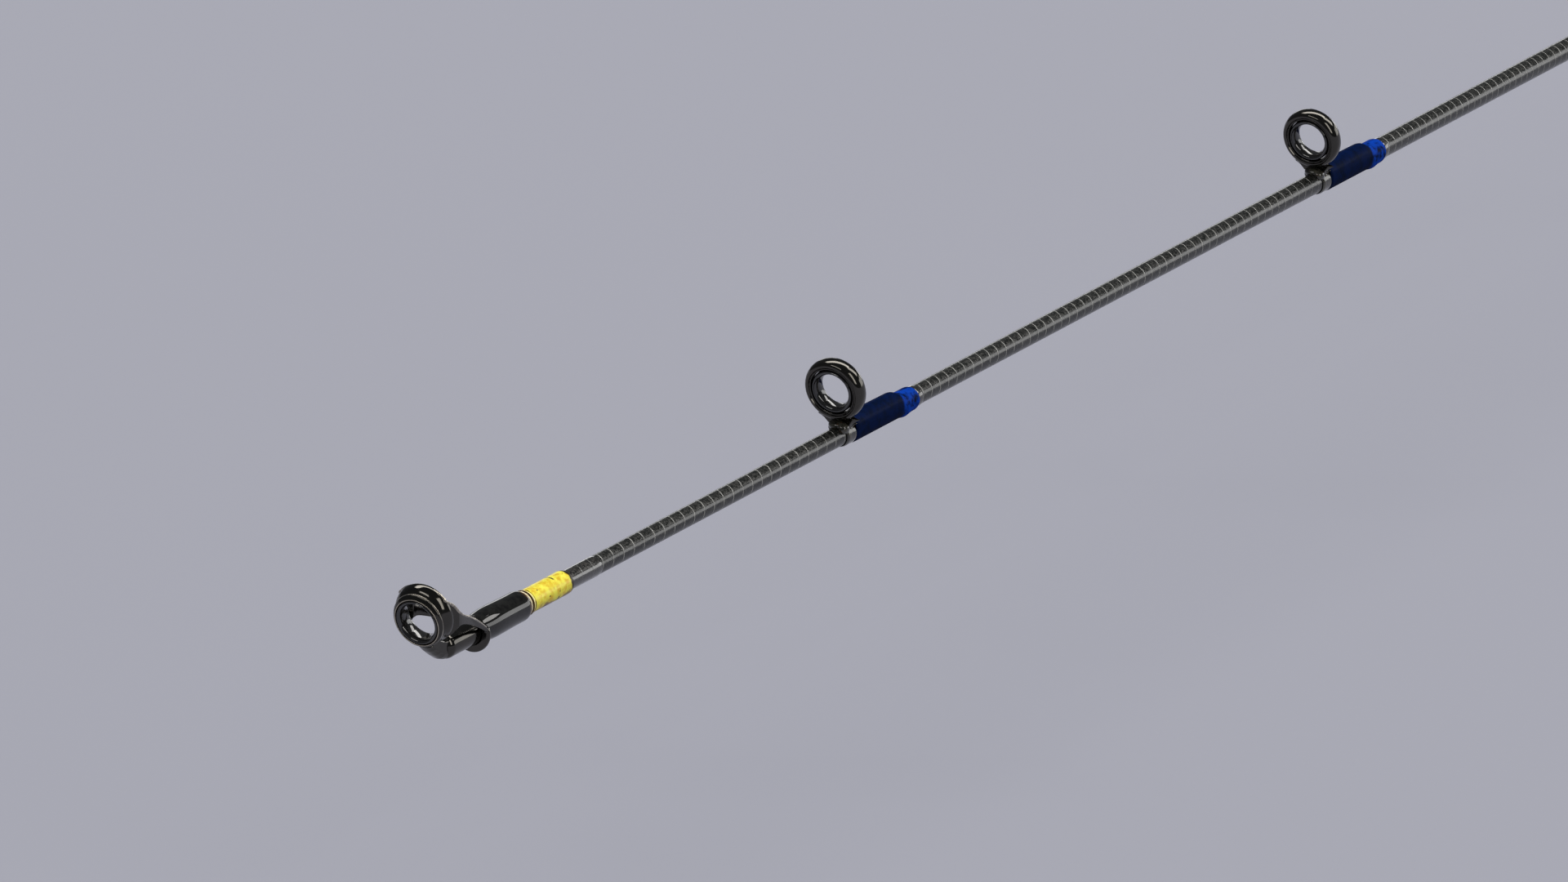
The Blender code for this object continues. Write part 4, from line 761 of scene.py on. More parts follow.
def guide_hoop(name, label, trim, sides):
    """The hoop of a frame: the outer half of a fat oval section, with a fine lip round the ceramic ring."""
    x, z, seat = guide_centre(name)
    section = arc((0, seat + 0.43), (0.95 - trim, 0.55 - trim), 190, -10, 26)
    section += arc((0.74 - trim, seat + 0.14), (0.13, 0.1), 75, -60, 7)
    section += [(0.75 - trim, seat + 0.03), (-0.85 + trim, seat + 0.03)]
    return lean_and_lift(turned(name + label, section, sides), GUIDE_LEAN, x, z)


def guide_face(name):
    """The polished hoop itself, crisp where the frame round it is softly filleted."""
    hoop = to_metres(guide_hoop(name, "_hoop", 0, FINE_SIDES))
    wear(hoop, PLATING, guide_body(name), "guide_black")


def guide_ceramic(name):
    """The ceramic ring: the inner half of the same oval."""
    x, z, seat = guide_centre(name)
    wall, outside, half_depth = 0.72, 0.2, 0.9
    section = arc((0, seat - outside), (half_depth, outside - 0.02), 0, 180, 9)
    section += arc((0, seat - outside), (half_depth, wall - outside), 180, 360, 22)[1:-1]
    ring = turned(name + "_ceramic", section, 96)
    lean_and_lift(ring, GUIDE_LEAN, x, z)
    wear(to_metres(ring), CERAMIC, guide_body(name), "ceramic", name + "_ring")


def leg(name, way, reach, bend, foot_length, foot_width, neck_width):
    """A strip from the bottom of the hoop to the blank, bent along it and ground thin at its end."""
    x, z, seat = guide_centre(name)
    frame_radius = seat + 0.98
    hold = frame_radius - 0.5
    thick, thin = 0.5, 0.18
    under = blank_top(x)
    middle = under + thick / 2
    start_x, start_z = -hold * math.sin(GUIDE_LEAN), z - hold * math.cos(GUIDE_LEAN)
    slope = math.atan2(way * (way * reach - start_x), start_z - middle - bend)
    bend_x = way * (reach + bend * math.cos(slope))
    degrees = math.degrees(slope)
    turn_from, turn_to = (180 + degrees, 270) if way > 0 else (-degrees, -90)
    near, far = (
        arc((bend_x, middle + bend), (radius, radius), turn_from, turn_to, 9)
        for radius in (bend - thick / 2, bend + thick / 2)
    )
    shares = (0.15, 0.3, 0.5, 0.7, 0.85, 1.0)
    foot_top = [(bend_x + way * foot_length * s, under + thick + (thin - thick) * s) for s in shares]
    foot_low = [(bend_x + way * foot_length * s, under) for s in shares[::-1]]
    across_x, across_z = way * thick / 2 * math.cos(slope), thick / 2 * math.sin(slope)
    points = [(start_x + across_x, start_z + across_z), *near, *foot_top, *foot_low, *far[::-1]]
    points += [(start_x - across_x, start_z - across_z)]
    piece = plate(name + "_leg", points, -0.5, 0.5, 8)

    def wrap_round(point):
        """The leg is widened, and its foot is curved to lie round the blank."""
        past = way * (point.x - bend_x)
        foot = min(max(past / foot_length, 0.0), 1.0)
        lie = ease((past + 1.2) / 1.4)
        width = neck_width + (foot_width - neck_width) * lie - 0.35 * foot_width * foot
        width += 1.4 * ease((point.z - z + frame_radius + 0.3) / 0.8)
        y = point.y * width
        reach = point.z + (blank_top(x + point.x) - under) * lie
        angle = y / under * lie
        flat = y * (1 - lie)
        return Vector((x + point.x, reach * math.sin(angle) + flat, reach * math.cos(angle)))

    reshape(piece, wrap_round)
    return piece


for name in GUIDES[:-1]:
    low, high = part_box(name + "_frame")
    x, z, seat = guide_centre(name)
    growth = seat - SMALLEST_SEAT
    reach, bend = 0.75, 0.9
    foot_length = x - low.x * UNIT - reach - bend
    parts = [guide_hoop(name, "_core", 0.05, 72)]
    parts.append(leg(name, -1, reach, bend, foot_length, 2.1 + 0.3 * growth, 2.4 + 0.4 * growth))
    guide_frame = fuse(name + "_stamped_frame", parts, GUIDE_VOXEL, GUIDE_FAIRING)
    wear(guide_frame, PLATING, guide_body(name), "guide_black", name + "_frame")
    guide_face(name)
    guide_ceramic(name)

# The guide wraps. Blue thread ties each guide down over its foot. It goes round the blank and over the flat
# of the foot, so that the wrap has a hump that ends in a shoulder; clear epoxy runs out past its far end.
THREAD_RISE = 0.19 * MM
EPOXY_RISE = 0.04 * MM
BARE_EPOXY = 0.9 * MM
WRAP_SIDES = 96


def foot_cover(radius, half_width, top, angle):
    """How far thread over a flat foot stands off the blank, at an angle from +Y towards +Z."""
    corner = math.hypot(half_width, top)
    if top <= radius or corner <= radius:
        return 0.0
    corner_angle = math.atan2(top, half_width)
    angle = angle if math.cos(angle) >= 0 else math.pi - angle
    angle = (angle + math.pi) % (2 * math.pi) - math.pi
    leaves = corner_angle - math.acos(radius / corner)
    if angle >= corner_angle:
        return top / math.sin(angle) - radius
    if angle > leaves:
        return radius / math.cos(angle - leaves) - radius
    return 0.0


def no_foot(x):
    """Half width and thickness of the foot under a plain wrap."""
    return 0.0, 0.0


def humped_wrap(name, profile, foot_at, material, body, slot, *nodes, up=1):
    """A sleeve of (x, rise over the blank) points, pushed out over a foot.

    foot_at gives the foot's half width and thickness at x, and up is -1 for a foot below the blank.
    """
    start, end = profile[0][0], profile[-1][0]
    outer = [(x, blank_radius(x) + GLUE_GAP + rise) for x, rise in profile]
    inner = [(x, blank_radius(x) + GLUE_GAP) for x in (end, *spread(end, start, 30)[1:-1], start)]
    piece = turned(name, outer + inner, WRAP_SIDES)

    def push(point):
        """Stiff thread rounds off the foot's corners, so the rise is a mean over a short arc."""
        half_width, thickness = foot_at(point.x)
        if thickness <= 0:
            return point
        base = blank_radius(point.x) + GLUE_GAP
        reach = math.hypot(point.y, point.z)
        angle = math.atan2(up * point.z, point.y)
        turns = spread(-0.45, 0.45, 9)
        rises = [foot_cover(base, half_width, base + thickness, angle + turn) for turn in turns]
        return at_reach(point, reach + sum(rises) / len(rises))

    covered = piece.data.attributes.new("over_foot", "FLOAT", "POINT")
    for vertex, value in zip(piece.data.vertices, covered.data):
        value.value = ease(foot_at(vertex.co.x)[1] / (0.3 * MM))
    reshape(piece, push)
    wear(piece, material, body, slot, *nodes)
    return piece


def rounded_run(start, end, rise, low_rise, length, count):
    """(x, rise) points of a wrap that rounds down to low_rise within length of each end."""
    step = length if end > start else -length
    shares = spread(0, 1, 6)
    rises = [low_rise + (rise - low_rise) * math.sin(share * math.pi / 2) for share in shares]
    points = [(start + step * share, height) for share, height in zip(shares, rises)]
    points += [(x, rise) for x in spread(start + step * 1.2, end - step * 1.2, count)]
    return points + [(end - step * share, height) for share, height in zip(shares[::-1], rises[::-1])]


def foot_thickness(run, length, full, thin):
    """Thickness of a ground foot at a distance along it, with the epoxy shoulder where it ends."""
    if run < 0:
        return full
    if run < length:
        return full + (thin - full) * run / length
    return thin * (1 - ease((run - length) / (1.7 * MM)))


def tie_down(name, body, near, foot_end, far, half_width, full, label="wrap", up=1, thin=0.24 * MM):
    """The blue wrap over one foot, with clear epoxy past its far end; near, foot_end and far go one way."""
    way = 1 if far > near else -1
    foot_length = abs(foot_end - near)
    node = f"{name}_{label}"

    def foot_at(x):
        """The foot narrows a little and thins out towards its end."""
        run = way * (x - near)
        narrowing = 0.18 * min(max(run / foot_length, 0), 1)
        return half_width * (1 - narrowing), foot_thickness(run, foot_length, full, thin)

    profile = rounded_run(near, far - way * BARE_EPOXY, THREAD_RISE, 0.08 * MM, 0.45 * MM, 60)
    wrap_name = f"{name}_thread_{label}"
    piece = humped_wrap(wrap_name, profile, foot_at, BLUE_THREAD, body, "blue_thread", node, up=up)
    sag_at, sag_depth, sag_length = foot_end + way * 2.0 * MM, 0.16 * MM, 0.75 * MM

    def sag(point):
        """Below the step at the end of the foot the epoxy has set in a low bead."""
        reach = math.hypot(point.y, point.z)
        if reach < blank_radius(point.x) + 0.1 * MM:
            return point
        bulge = sag_depth * math.exp(-((point.x - sag_at) / sag_length) ** 2)
        return at_reach(point, reach + bulge * ease(-up * point.z / reach))

    reshape(piece, sag)
    end = far - way * (BARE_EPOXY - 0.02 * MM)
    profile = rounded_run(end, far, EPOXY_RISE, 0.01 * MM, 0.25 * MM, 4)
    humped_wrap(node + "_epoxy", profile, no_foot, EPOXY, body, "carbon")


def wrap_ends(node, toward_tip):
    """Where a CAD wrap begins, next to its guide, and where it ends."""
    low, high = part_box(node)
    return (low.x, high.x) if toward_tip else (high.x, low.x)


for name in GUIDES[:-1]:
    half_width = 0.92 * MM + 0.3 * (guide_centre(name)[2] - SMALLEST_SEAT) * MM
    near, far = wrap_ends(name + "_wrap", False)
    tie_down(name, guide_body(name), near, far + 5.2 * MM, far, half_width, 0.5 * MM, thin=0.42 * MM)

# The neck epoxy. Some epoxy has crept from each wrap up the guide's neck, and has set round its base as a
# glossy olive-grey pool, cloudy and with a few rust-brown spots.
NECK_EPOXY, tree, shader = new_material(
    "neck_epoxy", Roughness=0.06, IOR=1.5, Coat_Weight=0.5, Coat_Roughness=0.03
)
place = own_place(tree)
cloudy = noise(tree, place, 0.7 * MM, 3.0, 0.6)
body_colour = mixed(tree, between(tree, cloudy, 0.35, 0.65), (0.008, 0.008, 0.006), (0.07, 0.068, 0.052))
rusty = between(tree, noise(tree, place, 0.35 * MM, 2.0), 0.6, 0.68)
tree.links.new(mixed(tree, rusty, body_colour, (0.07, 0.03, 0.015)), shader.inputs["Base Color"])
raise_surface(tree, shader, cloudy, 0.1 * MM, 0.6)

# The pool's lumps, for the smallest guide: each one's place along, aside and up from the neck's foot, and its
# radii, in millimetres.
NECK_LUMPS = (
    (-0.75, 0.0, 0.12, (1.15, 1.15, 0.62)),
    (-0.45, 0.75, -0.15, (0.75, 0.6, 0.6)),
    (-0.6, -0.6, -0.15, (0.7, 0.5, 0.5)),
    (-1.65, 0.0, 0.1, (0.5, 1.2, 0.6)),
)
for name in GUIDES[:-1]:
    x, z, seat = guide_centre(name)
    wrap_start = wrap_ends(name + "_wrap", False)[0] * UNIT + 0.02
    tube = blank_top(x) + 0.01
    size = 1 + 0.3 * (seat - SMALLEST_SEAT)
    stations = spread(x - 0.5, wrap_start, 12)
    sleeve = [(along, tube + 0.13 * ease((x - 0.3 - along) / 0.6)) for along in stations]
    sleeve += [(wrap_start, tube), (x - 0.5, tube)]
    parts = [turned(name + "_neck_epoxy", sleeve)]
    for along, aside, height, radii in NECK_LUMPS:
        bpy.ops.mesh.primitive_uv_sphere_add(segments=32, ring_count=16, radius=1)
        lump = bpy.context.object
        lump.scale = [radius * size for radius in radii]
        lump.location = (x + along * size, aside * size, tube + height)
        parts.append(settle(lump))
    pool = fuse(name + "_neck_epoxy", parts, 0.06, 5)
    wear(pool, NECK_EPOXY, guide_body(name), "black_thread")

# The stripper guide, nearest the reel. Its hoop of plated steel is like the others, but larger, and stands on
# one bent leg in front and on two round struts behind. Both feet are tied down with blue thread.
name = GUIDES[-1]
x, z, seat = guide_centre(name)
reach, bend = 3.2, 1.6
foot_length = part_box(name + "_frame")[1].x * UNIT - x - reach - 1.0
front_leg = leg(name, 1, reach, bend, foot_length, 2.6, 2.9)
under = blank_top(x)
FOOT_HEEL, FOOT_TOE = -10.2, -22.2
FOOT_FULL, FOOT_THIN, FOOT_HALF_WIDTH = 0.75, 0.25, 1.2
STRUT_RADIUS = 0.55
points = [(FOOT_HEEL, under), (FOOT_HEEL, under + FOOT_FULL)]
points += [(FOOT_TOE, under + FOOT_THIN), (FOOT_TOE, under)]
rear_foot = plate(name + "_rear_foot", points, -FOOT_HALF_WIDTH, FOOT_HALF_WIDTH)
reshape(rear_foot, lambda point: point + Vector((x, 0, -0.12 * point.y * point.y)))


def rear_strut(side):
    """A round bar from the side of the hoop down to the rear foot."""
    hold = seat + 0.5
    top = Vector((-0.7, side * hold * 0.74, z - hold * 0.66))
    foot = Vector((FOOT_HEEL - 1, side * STRUT_RADIUS, under + 0.5))
    bpy.ops.mesh.primitive_cylinder_add(vertices=24, radius=STRUT_RADIUS, depth=(top - foot).length)
    bar = bpy.context.object
    bar.rotation_euler = (top - foot).to_track_quat("Z", "Y").to_euler()
    bar.location = (top + foot) / 2 + Vector((x, 0, 0))
    return settle(bar)


parts = [guide_hoop(name, "_core", 0.05, 96), front_leg, rear_foot, rear_strut(1), rear_strut(-1)]
stripper_frame = fuse(name + "_stamped_frame", parts, STRIPPER_VOXEL, GUIDE_FAIRING)
wear(stripper_frame, PLATING, guide_body(name), "guide_black", name + "_frame")
guide_face(name)
guide_ceramic(name)
near, far = wrap_ends(name + "_front_wrap", True)
tie_down(name, guide_body(name), near, far - 3.4 * MM, far, 1.25 * MM, 0.5 * MM, "front_wrap")
near, far = wrap_ends(name + "_rear_wrap", False)
tie_down(name, guide_body(name), near, far + 3.4 * MM, far, 1.1 * MM, 0.72 * MM, "rear_wrap")

# The ferrule bindings. The blank is bound with the same blue thread, under epoxy, on each side of its joint,
# so that the ends of the tubes cannot split.
for node, body in (("butt_ferrule_wrap", "butt_section"), ("tip_ferrule_wrap", "tip_section")):
    low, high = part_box(node)
    profile = rounded_run(low.x, high.x, THREAD_RISE, 0.03 * MM, 0.8 * MM, 50)
    binding = node.replace("_wrap", "_binding")
    humped_wrap(binding, profile, no_foot, BLUE_THREAD, body, "blue_thread", node)

# The grips. Dense closed-cell foam, turned to shape and sanded, is glued on the blank. A moulded rubber cap
# closes the butt, and thin turned rings of blue anodised aluminium finish the foam.


def grain_group():
    """The skin of foam, rubber or moulded plastic: fine pits and a slow change of shade."""
    tree, given, result = new_group("fine_grain", ("Size",), ("Pits", "Shade"))
    place = own_place(tree)
    scale = calc(tree, "DIVIDE", 1.0, given.outputs["Size"])
    cells = add_node(tree, "TexVoronoi", {"Vector": place, "Scale": scale})
    tree.links.new(between(tree, cells.outputs["Distance"], 0.05, 0.55), result.inputs["Pits"])
    tree.links.new(noise(tree, place, 9 * MM, 5.0, 0.6), result.inputs["Shade"])
    return tree


GRAIN = grain_group()


def grained_material(name, dark, light, size, depth, rough_low, rough_high):
    """A matt moulded or sanded surface, with painted shade in its pits."""
    material, tree, shader = new_material(name, Specular_IOR_Level=0.4)
    grain = add_node(tree, "Group", {"Size": size}, node_tree=GRAIN)
    # The colour is painted darker in the pits, as shade, and a little lighter on the rims between them.
    pit_shade = between(tree, grain.outputs["Pits"], 0.0, 1.0, 0.55, 1.3)
    shade = calc(tree, "MULTIPLY", grain.outputs["Shade"], pit_shade)
    tree.links.new(mixed(tree, shade, dark, light), shader.inputs["Base Color"])
    rough = between(tree, grain.outputs["Shade"], 0.3, 0.7, rough_low, rough_high)
    tree.links.new(rough, shader.inputs["Roughness"])
    raise_surface(tree, shader, grain.outputs["Pits"], depth, 0.7)
    return material


FOAM = grained_material(
    "grip_foam", (0.008, 0.008, 0.009), (0.04, 0.04, 0.042), 0.45 * MM, 0.12 * MM, 0.72, 0.92
)
RUBBER = grained_material(
    "cap_rubber", (0.008, 0.008, 0.008), (0.032, 0.031, 0.03), 0.7 * MM, 0.05 * MM, 0.5, 0.68
)


def anodised_material():
    """Blue anodised aluminium with the fine rings that the lathe leaves."""
    material, tree, shader = new_material("blue_anodised", Metallic=1.0, Coat_Weight=0.4, Coat_Roughness=0.1)
    stretched = {"Vector": own_place(tree), "Scale": (1.0, 0.02, 0.02)}
    lines = noise(tree, add_node(tree, "Mapping", stretched).outputs[0], 0.12 * MM, 3.0, 0.7)
    tree.links.new(mixed(tree, lines, (0.008, 0.05, 0.32), (0.03, 0.14, 0.62)), shader.inputs["Base Color"])
    tree.links.new(between(tree, lines, 0.3, 0.7, 0.18, 0.34), shader.inputs["Roughness"])
    raise_surface(tree, shader, lines, 0.01 * MM, 0.5)
    return material


ANODISED = anodised_material()
SEAT_GAP = 0.3 * MM
GRIP_SIDES = 128


def rear_corner(x, radius, size, count=6):
    """The rounded corner where a face at x meets the outside that follows it."""
    return arc((x + size, radius - size), (size, size), 180, 90, count)


def front_corner(x, radius, size, count=6):
    """The rounded corner where the outside meets a face at x."""
    return arc((x - size, radius - size), (size, size), 90, 0, count)


def bored(points, count=8):
    """A turned outline closed by a bore that clears the blank."""
    start, end = points[0][0], points[-1][0]
    return points + [(x, blank_radius(x) + SEAT_GAP) for x in spread(end, start, count)]


def on_curve(knots, count):
    """(x, radius) points on a smooth curve through a few (x, radius) knots."""
    points = []
    for i in range(len(knots) - 1):
        (x0, r0), (x1, r1) = knots[i], knots[i + 1]
        slopes = []
        for j in (i, i + 1):
            low_knot, high_knot = knots[max(j - 1, 0)], knots[min(j + 1, len(knots) - 1)]
            slopes.append((high_knot[1] - low_knot[1]) / (high_knot[0] - low_knot[0]))
        for step in range(count):
            t = step / count
            span = x1 - x0
            radius = (2 * t ** 3 - 3 * t ** 2 + 1) * r0 + (t ** 3 - 2 * t ** 2 + t) * span * slopes[0]
            radius += (3 * t ** 2 - 2 * t ** 3) * r1 + (t ** 3 - t ** 2) * span * slopes[1]
            points.append((x0 + span * t, radius))
    return points + [knots[-1]]


# The butt cap: a moulding with a ring pressed into its end face and three grooves round its side.
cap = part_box("butt_cap")[1]
cap_wall, cap_floor = 1.8 * MM, 4 * MM
points = [(0, 0), (0, cap.y - 4.2 * MM), (0.5 * MM, cap.y - 3.9 * MM), (0.5 * MM, cap.y - 3.4 * MM)]
points += [(0, cap.y - 3.1 * MM)] + rear_corner(0, cap.y, 2.2 * MM, 10)
for middle in (5.25 * MM, 7.25 * MM, 9.25 * MM):
    points += bead(middle, cap.y, 0.25 * MM, -0.4 * MM)
points += front_corner(cap.x, cap.y, 0.7 * MM)
points += [(cap.x, cap.y - cap_wall), (cap_floor, cap.y - cap_wall), (cap_floor, 0)]
wear(turned("butt_rubber_cap", points, GRIP_SIDES), RUBBER, "butt_section", "rubber", "butt_cap")

# The rear grip: its rear end is plugged into the cap, and it thins towards the front.
low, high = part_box("rear_grip")
shoulder = cap.x + SEAT_GAP
inside = cap.y - cap_wall - SEAT_GAP
points = [(low.x, inside), (shoulder, inside)] + rear_corner(shoulder, 13.9 * MM, 0.6 * MM)
knots = [(shoulder + 2 * MM, 13.9 * MM), (34 * MM, 13.75 * MM), (52 * MM, 12.3 * MM), (66 * MM, 12.0 * MM)]
knots += [(82 * MM, 11.9 * MM), (91 * MM, 11.3 * MM)]
points += on_curve(knots, 10)
points += arc((high.x - 2.2 * MM, 9.3 * MM), (2.2 * MM, 1.75 * MM), 80, 0, 9)
wear(turned("rear_foam_grip", bored(points), GRIP_SIDES), FOAM, "butt_section", "grip_foam", "rear_grip")


def trim_ring(name, node):
    """A turned ring with a rounded rim and one fine groove."""
    low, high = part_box(node)
    points = rear_corner(low.x, high.y, 0.5 * MM)
    points += bead((low.x + high.x) / 2, high.y, 0.25 * MM, -0.22 * MM)
    points += front_corner(high.x, high.y, 0.5 * MM)
    wear(turned(name, bored(points, 2), GRIP_SIDES), ANODISED, "butt_section", "blue_metal", node)


trim_ring("rear_trim_ring", "rear_grip_ring")
trim_ring("handle_trim_ring", "handle_grip_ring")

# The handle grip swells towards the reel seat, and the fore grip tapers away from it.
low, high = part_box("handle_grip")
points = arc((low.x + 1.6 * MM, 9.2 * MM), (1.6 * MM, 1.6 * MM), 180, 100, 7)
knots = [(low.x + 2.2 * MM, 10.9 * MM), (low.x + 14 * MM, 11.5 * MM), (low.x + 30 * MM, 11.95 * MM)]
knots += [(high.x - 1.4 * MM, 12.35 * MM)]
points += on_curve(knots, 10) + front_corner(high.x, 12.4 * MM, 0.6 * MM)
wear(turned("handle_foam_grip", bored(points), GRIP_SIDES), FOAM, "butt_section", "grip_foam", "handle_grip")

low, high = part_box("fore_grip")
points = rear_corner(low.x, 11.6 * MM, 1.2 * MM, 7)
knots = [(low.x + 2.5 * MM, 11.6 * MM), (low.x + 11 * MM, 11.2 * MM), (low.x + 20 * MM, 9.3 * MM)]
knots += [(high.x - 2.2 * MM, 8.3 * MM)]
points += on_curve(knots, 10)
points += arc((high.x - 1.2 * MM, 7.0 * MM), (1.2 * MM, 1.1 * MM), 70, 0, 6)
wear(turned("fore_foam_grip", bored(points), GRIP_SIDES), FOAM, "butt_section", "grip_foam", "fore_grip")

# The winding check closes the front of the fore grip, stepped down to the blank.
low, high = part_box("winding_check")
check_radius = high.y
points = rear_corner(low.x, check_radius, 0.3 * MM)
points += arc((low.x + 1.3 * MM, check_radius - 0.35 * MM), (0.3 * MM, 0.35 * MM), 90, 10, 6)
points += [(low.x + 1.7 * MM, check_radius - 0.55 * MM)]
points += arc((high.x - 0.9 * MM, check_radius - 1.1 * MM), (0.9 * MM, 0.5 * MM), 90, 0, 8)
check = turned("turned_winding_check", bored(points, 4), GRIP_SIDES)
wear(check, ANODISED, "butt_section", "blue_metal", "winding_check")

# The reel seat. One moulding of glass-filled nylon: a barrel with a flat deck for the reel foot, a fixed hood
# behind, a coarse thread in front and a finger trigger below. Three fibre arbors glue it to the blank.
NYLON = grained_material(
    "seat_nylon", (0.012, 0.012, 0.013), (0.045, 0.045, 0.047), 0.38 * MM, 0.03 * MM, 0.3, 0.42
)
low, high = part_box("reel_seat")
SEAT_START, SEAT_END = low.x, high.x
SEAT_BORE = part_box("seat_arbor_1")[1].y + GLUE_GAP
SEAT_RADIUS = SEAT_BORE + 3.2 * MM
SEAT_FLARE = 1.8 * MM
DECK_HEIGHT = SEAT_BORE + 1.6 * MM
DECK_EDGE = 0.35 * MM
HOOD_START = SEAT_START + 19 * MM
FIXED_POCKET = SEAT_START + 24 * MM
FIXED_HOOD_END = SEAT_START + 38 * MM
HOOD_TOP = DECK_HEIGHT + 7.1 * MM
HOOD_HALF_WIDTH = 9.8 * MM
HOOD_SQUARENESS = 3
THREAD_START = SEAT_END - 41 * MM
COARSE_PITCH = 2.5 * MM
THREAD_CREST = SEAT_RADIUS - 0.4 * MM
THREAD_DEPTH = 0.7 * MM


def soft_min(first, second, blend):
    """The smaller of two lengths, with the corner between them rounded."""
    share = min(max(0.5 + 0.5 * (second - first) / blend, 0.0), 1.0)
    return second + (first - second) * share - blend * share * (1 - share)


def soft_max(first, second, blend):
    """The larger of two lengths, with the corner between them rounded."""
    return -soft_min(-first, -second, blend)


def deck_reach(angle, height):
    """Distance at which a ray from the axis meets a flat at this height."""
    rise = math.sin(angle)
    return height / rise if rise > 0.3 else 1.0


def barrel_radius(x, angle):
    """Outer radius of the barrel: flared behind, flat above, threaded in front."""
    if x < HOOD_START:
        return SEAT_RADIUS + SEAT_FLARE * (1 - ease((x - SEAT_START) / (HOOD_START - SEAT_START)))
    reach = SEAT_RADIUS
    if x > THREAD_START - 0.2 * MM:
        turns = (x - THREAD_START) / COARSE_PITCH - angle / (2 * math.pi)
        wave = 0.5 + 0.5 * math.cos(2 * math.pi * turns)
        shape = ease(wave * 1.1)
        runout = ease((x - THREAD_START) / (1.2 * MM)) * ease((SEAT_END - x) / (0.8 * MM))
        reach = THREAD_CREST - THREAD_DEPTH * (1 - shape * runout)
        reach = SEAT_RADIUS + (reach - SEAT_RADIUS) * ease((x - THREAD_START + 0.2 * MM) / (0.3 * MM))
    return soft_min(reach, deck_reach(angle, DECK_HEIGHT), DECK_EDGE)


def hood_reach(angle, below):
    """Outer radius of a hood: a squarish arch over the deck that falls to the radius below on its sides."""
    rise, side = math.sin(angle), abs(math.cos(angle))
    if rise < 0:
        return below
    arch = (side / HOOD_HALF_WIDTH) ** HOOD_SQUARENESS + (rise / HOOD_TOP) ** HOOD_SQUARENESS
    return soft_max(below, arch ** (-1 / HOOD_SQUARENESS), 0.5 * MM)


def seat_radius(x, angle):
    """The barrel with the fixed hood over it."""
    plain = barrel_radius(x, angle)
    if x > FIXED_HOOD_END:
        return plain
    edge = 0.5 * MM
    rising = ease((x - HOOD_START + 5.5 * MM) / (10 * MM))
    rounding = edge * ease((x - FIXED_HOOD_END + edge) / edge)
    hood = hood_reach(angle, max(SEAT_RADIUS, plain)) - rounding
    return plain + max(hood - plain, 0) * rising


def swell(piece, bore, radius_at):
    """Gives the outside of a plain tube another section, and leaves its bore as it is."""
    def move(point):
        """Only what lies outside the bore moves."""
        if math.hypot(point.y, point.z) < bore + 0.02 * MM:
            return point
        return at_reach(point, radius_at(point.x, math.atan2(point.z, point.y)))

    reshape(piece, move)


def cut_with(piece, helper, operation="DIFFERENCE"):
    """Cuts a helper shape out of a piece, or joins it on, and takes the helper away."""
    modifier = piece.modifiers.new("cut", "BOOLEAN")
    modifier.operation = operation
    modifier.solver = "EXACT"
    modifier.object = helper
    pick(piece)
    bpy.ops.object.modifier_apply(modifier=modifier.name)
    bpy.data.objects.remove(helper, do_unlink=True)
    bpy.ops.object.shade_smooth_by_angle(angle=math.radians(30))


def pocket_shape(start, end):
    """The arched space in a hood that takes one end of the reel foot."""
    half, wall_height, arch_height = 7.5 * MM, 1.68 * MM, 3.12 * MM
    points = [(half, DECK_HEIGHT)] + arc((0, DECK_HEIGHT + wall_height), (half, arch_height), 0, 180, 24)
    points += [(-half, DECK_HEIGHT)]
    shape = plate("pocket_shape", points, start, end)
    reshape(shape, lambda point: Vector((point.y, point.x, point.z)))
    bpy.ops.object.mode_set(mode="EDIT")
    close_up()
    return shape


stations = spread(SEAT_START + 0.4 * MM, HOOD_START - 6 * MM, 12)
stations += spread(HOOD_START - 5.5 * MM, FIXED_HOOD_END - 0.6 * MM, 40)
stations += spread(FIXED_HOOD_END - 0.5 * MM, FIXED_HOOD_END, 6) + [FIXED_HOOD_END + 0.02 * MM]
stations += spread(FIXED_HOOD_END + MM, THREAD_START - 0.5 * MM, 30)
stations += spread(THREAD_START - 0.2 * MM, SEAT_END, 124)
points = [(SEAT_START, SEAT_RADIUS)] + [(x, SEAT_RADIUS) for x in stations]
points += [(x, SEAT_BORE) for x in spread(SEAT_END, SEAT_START, 12)]
seat = turned("seat_moulding", points, FINE_SIDES)


def seat_skin(x, angle):
    """The seat's outside, with its rear edge broken."""
    return seat_radius(x, angle) - (0.4 * MM if x < SEAT_START + 0.1 * MM else 0)


swell(seat, SEAT_BORE, seat_skin)
cut_with(seat, pocket_shape(FIXED_POCKET, FIXED_HOOD_END + 2 * MM))


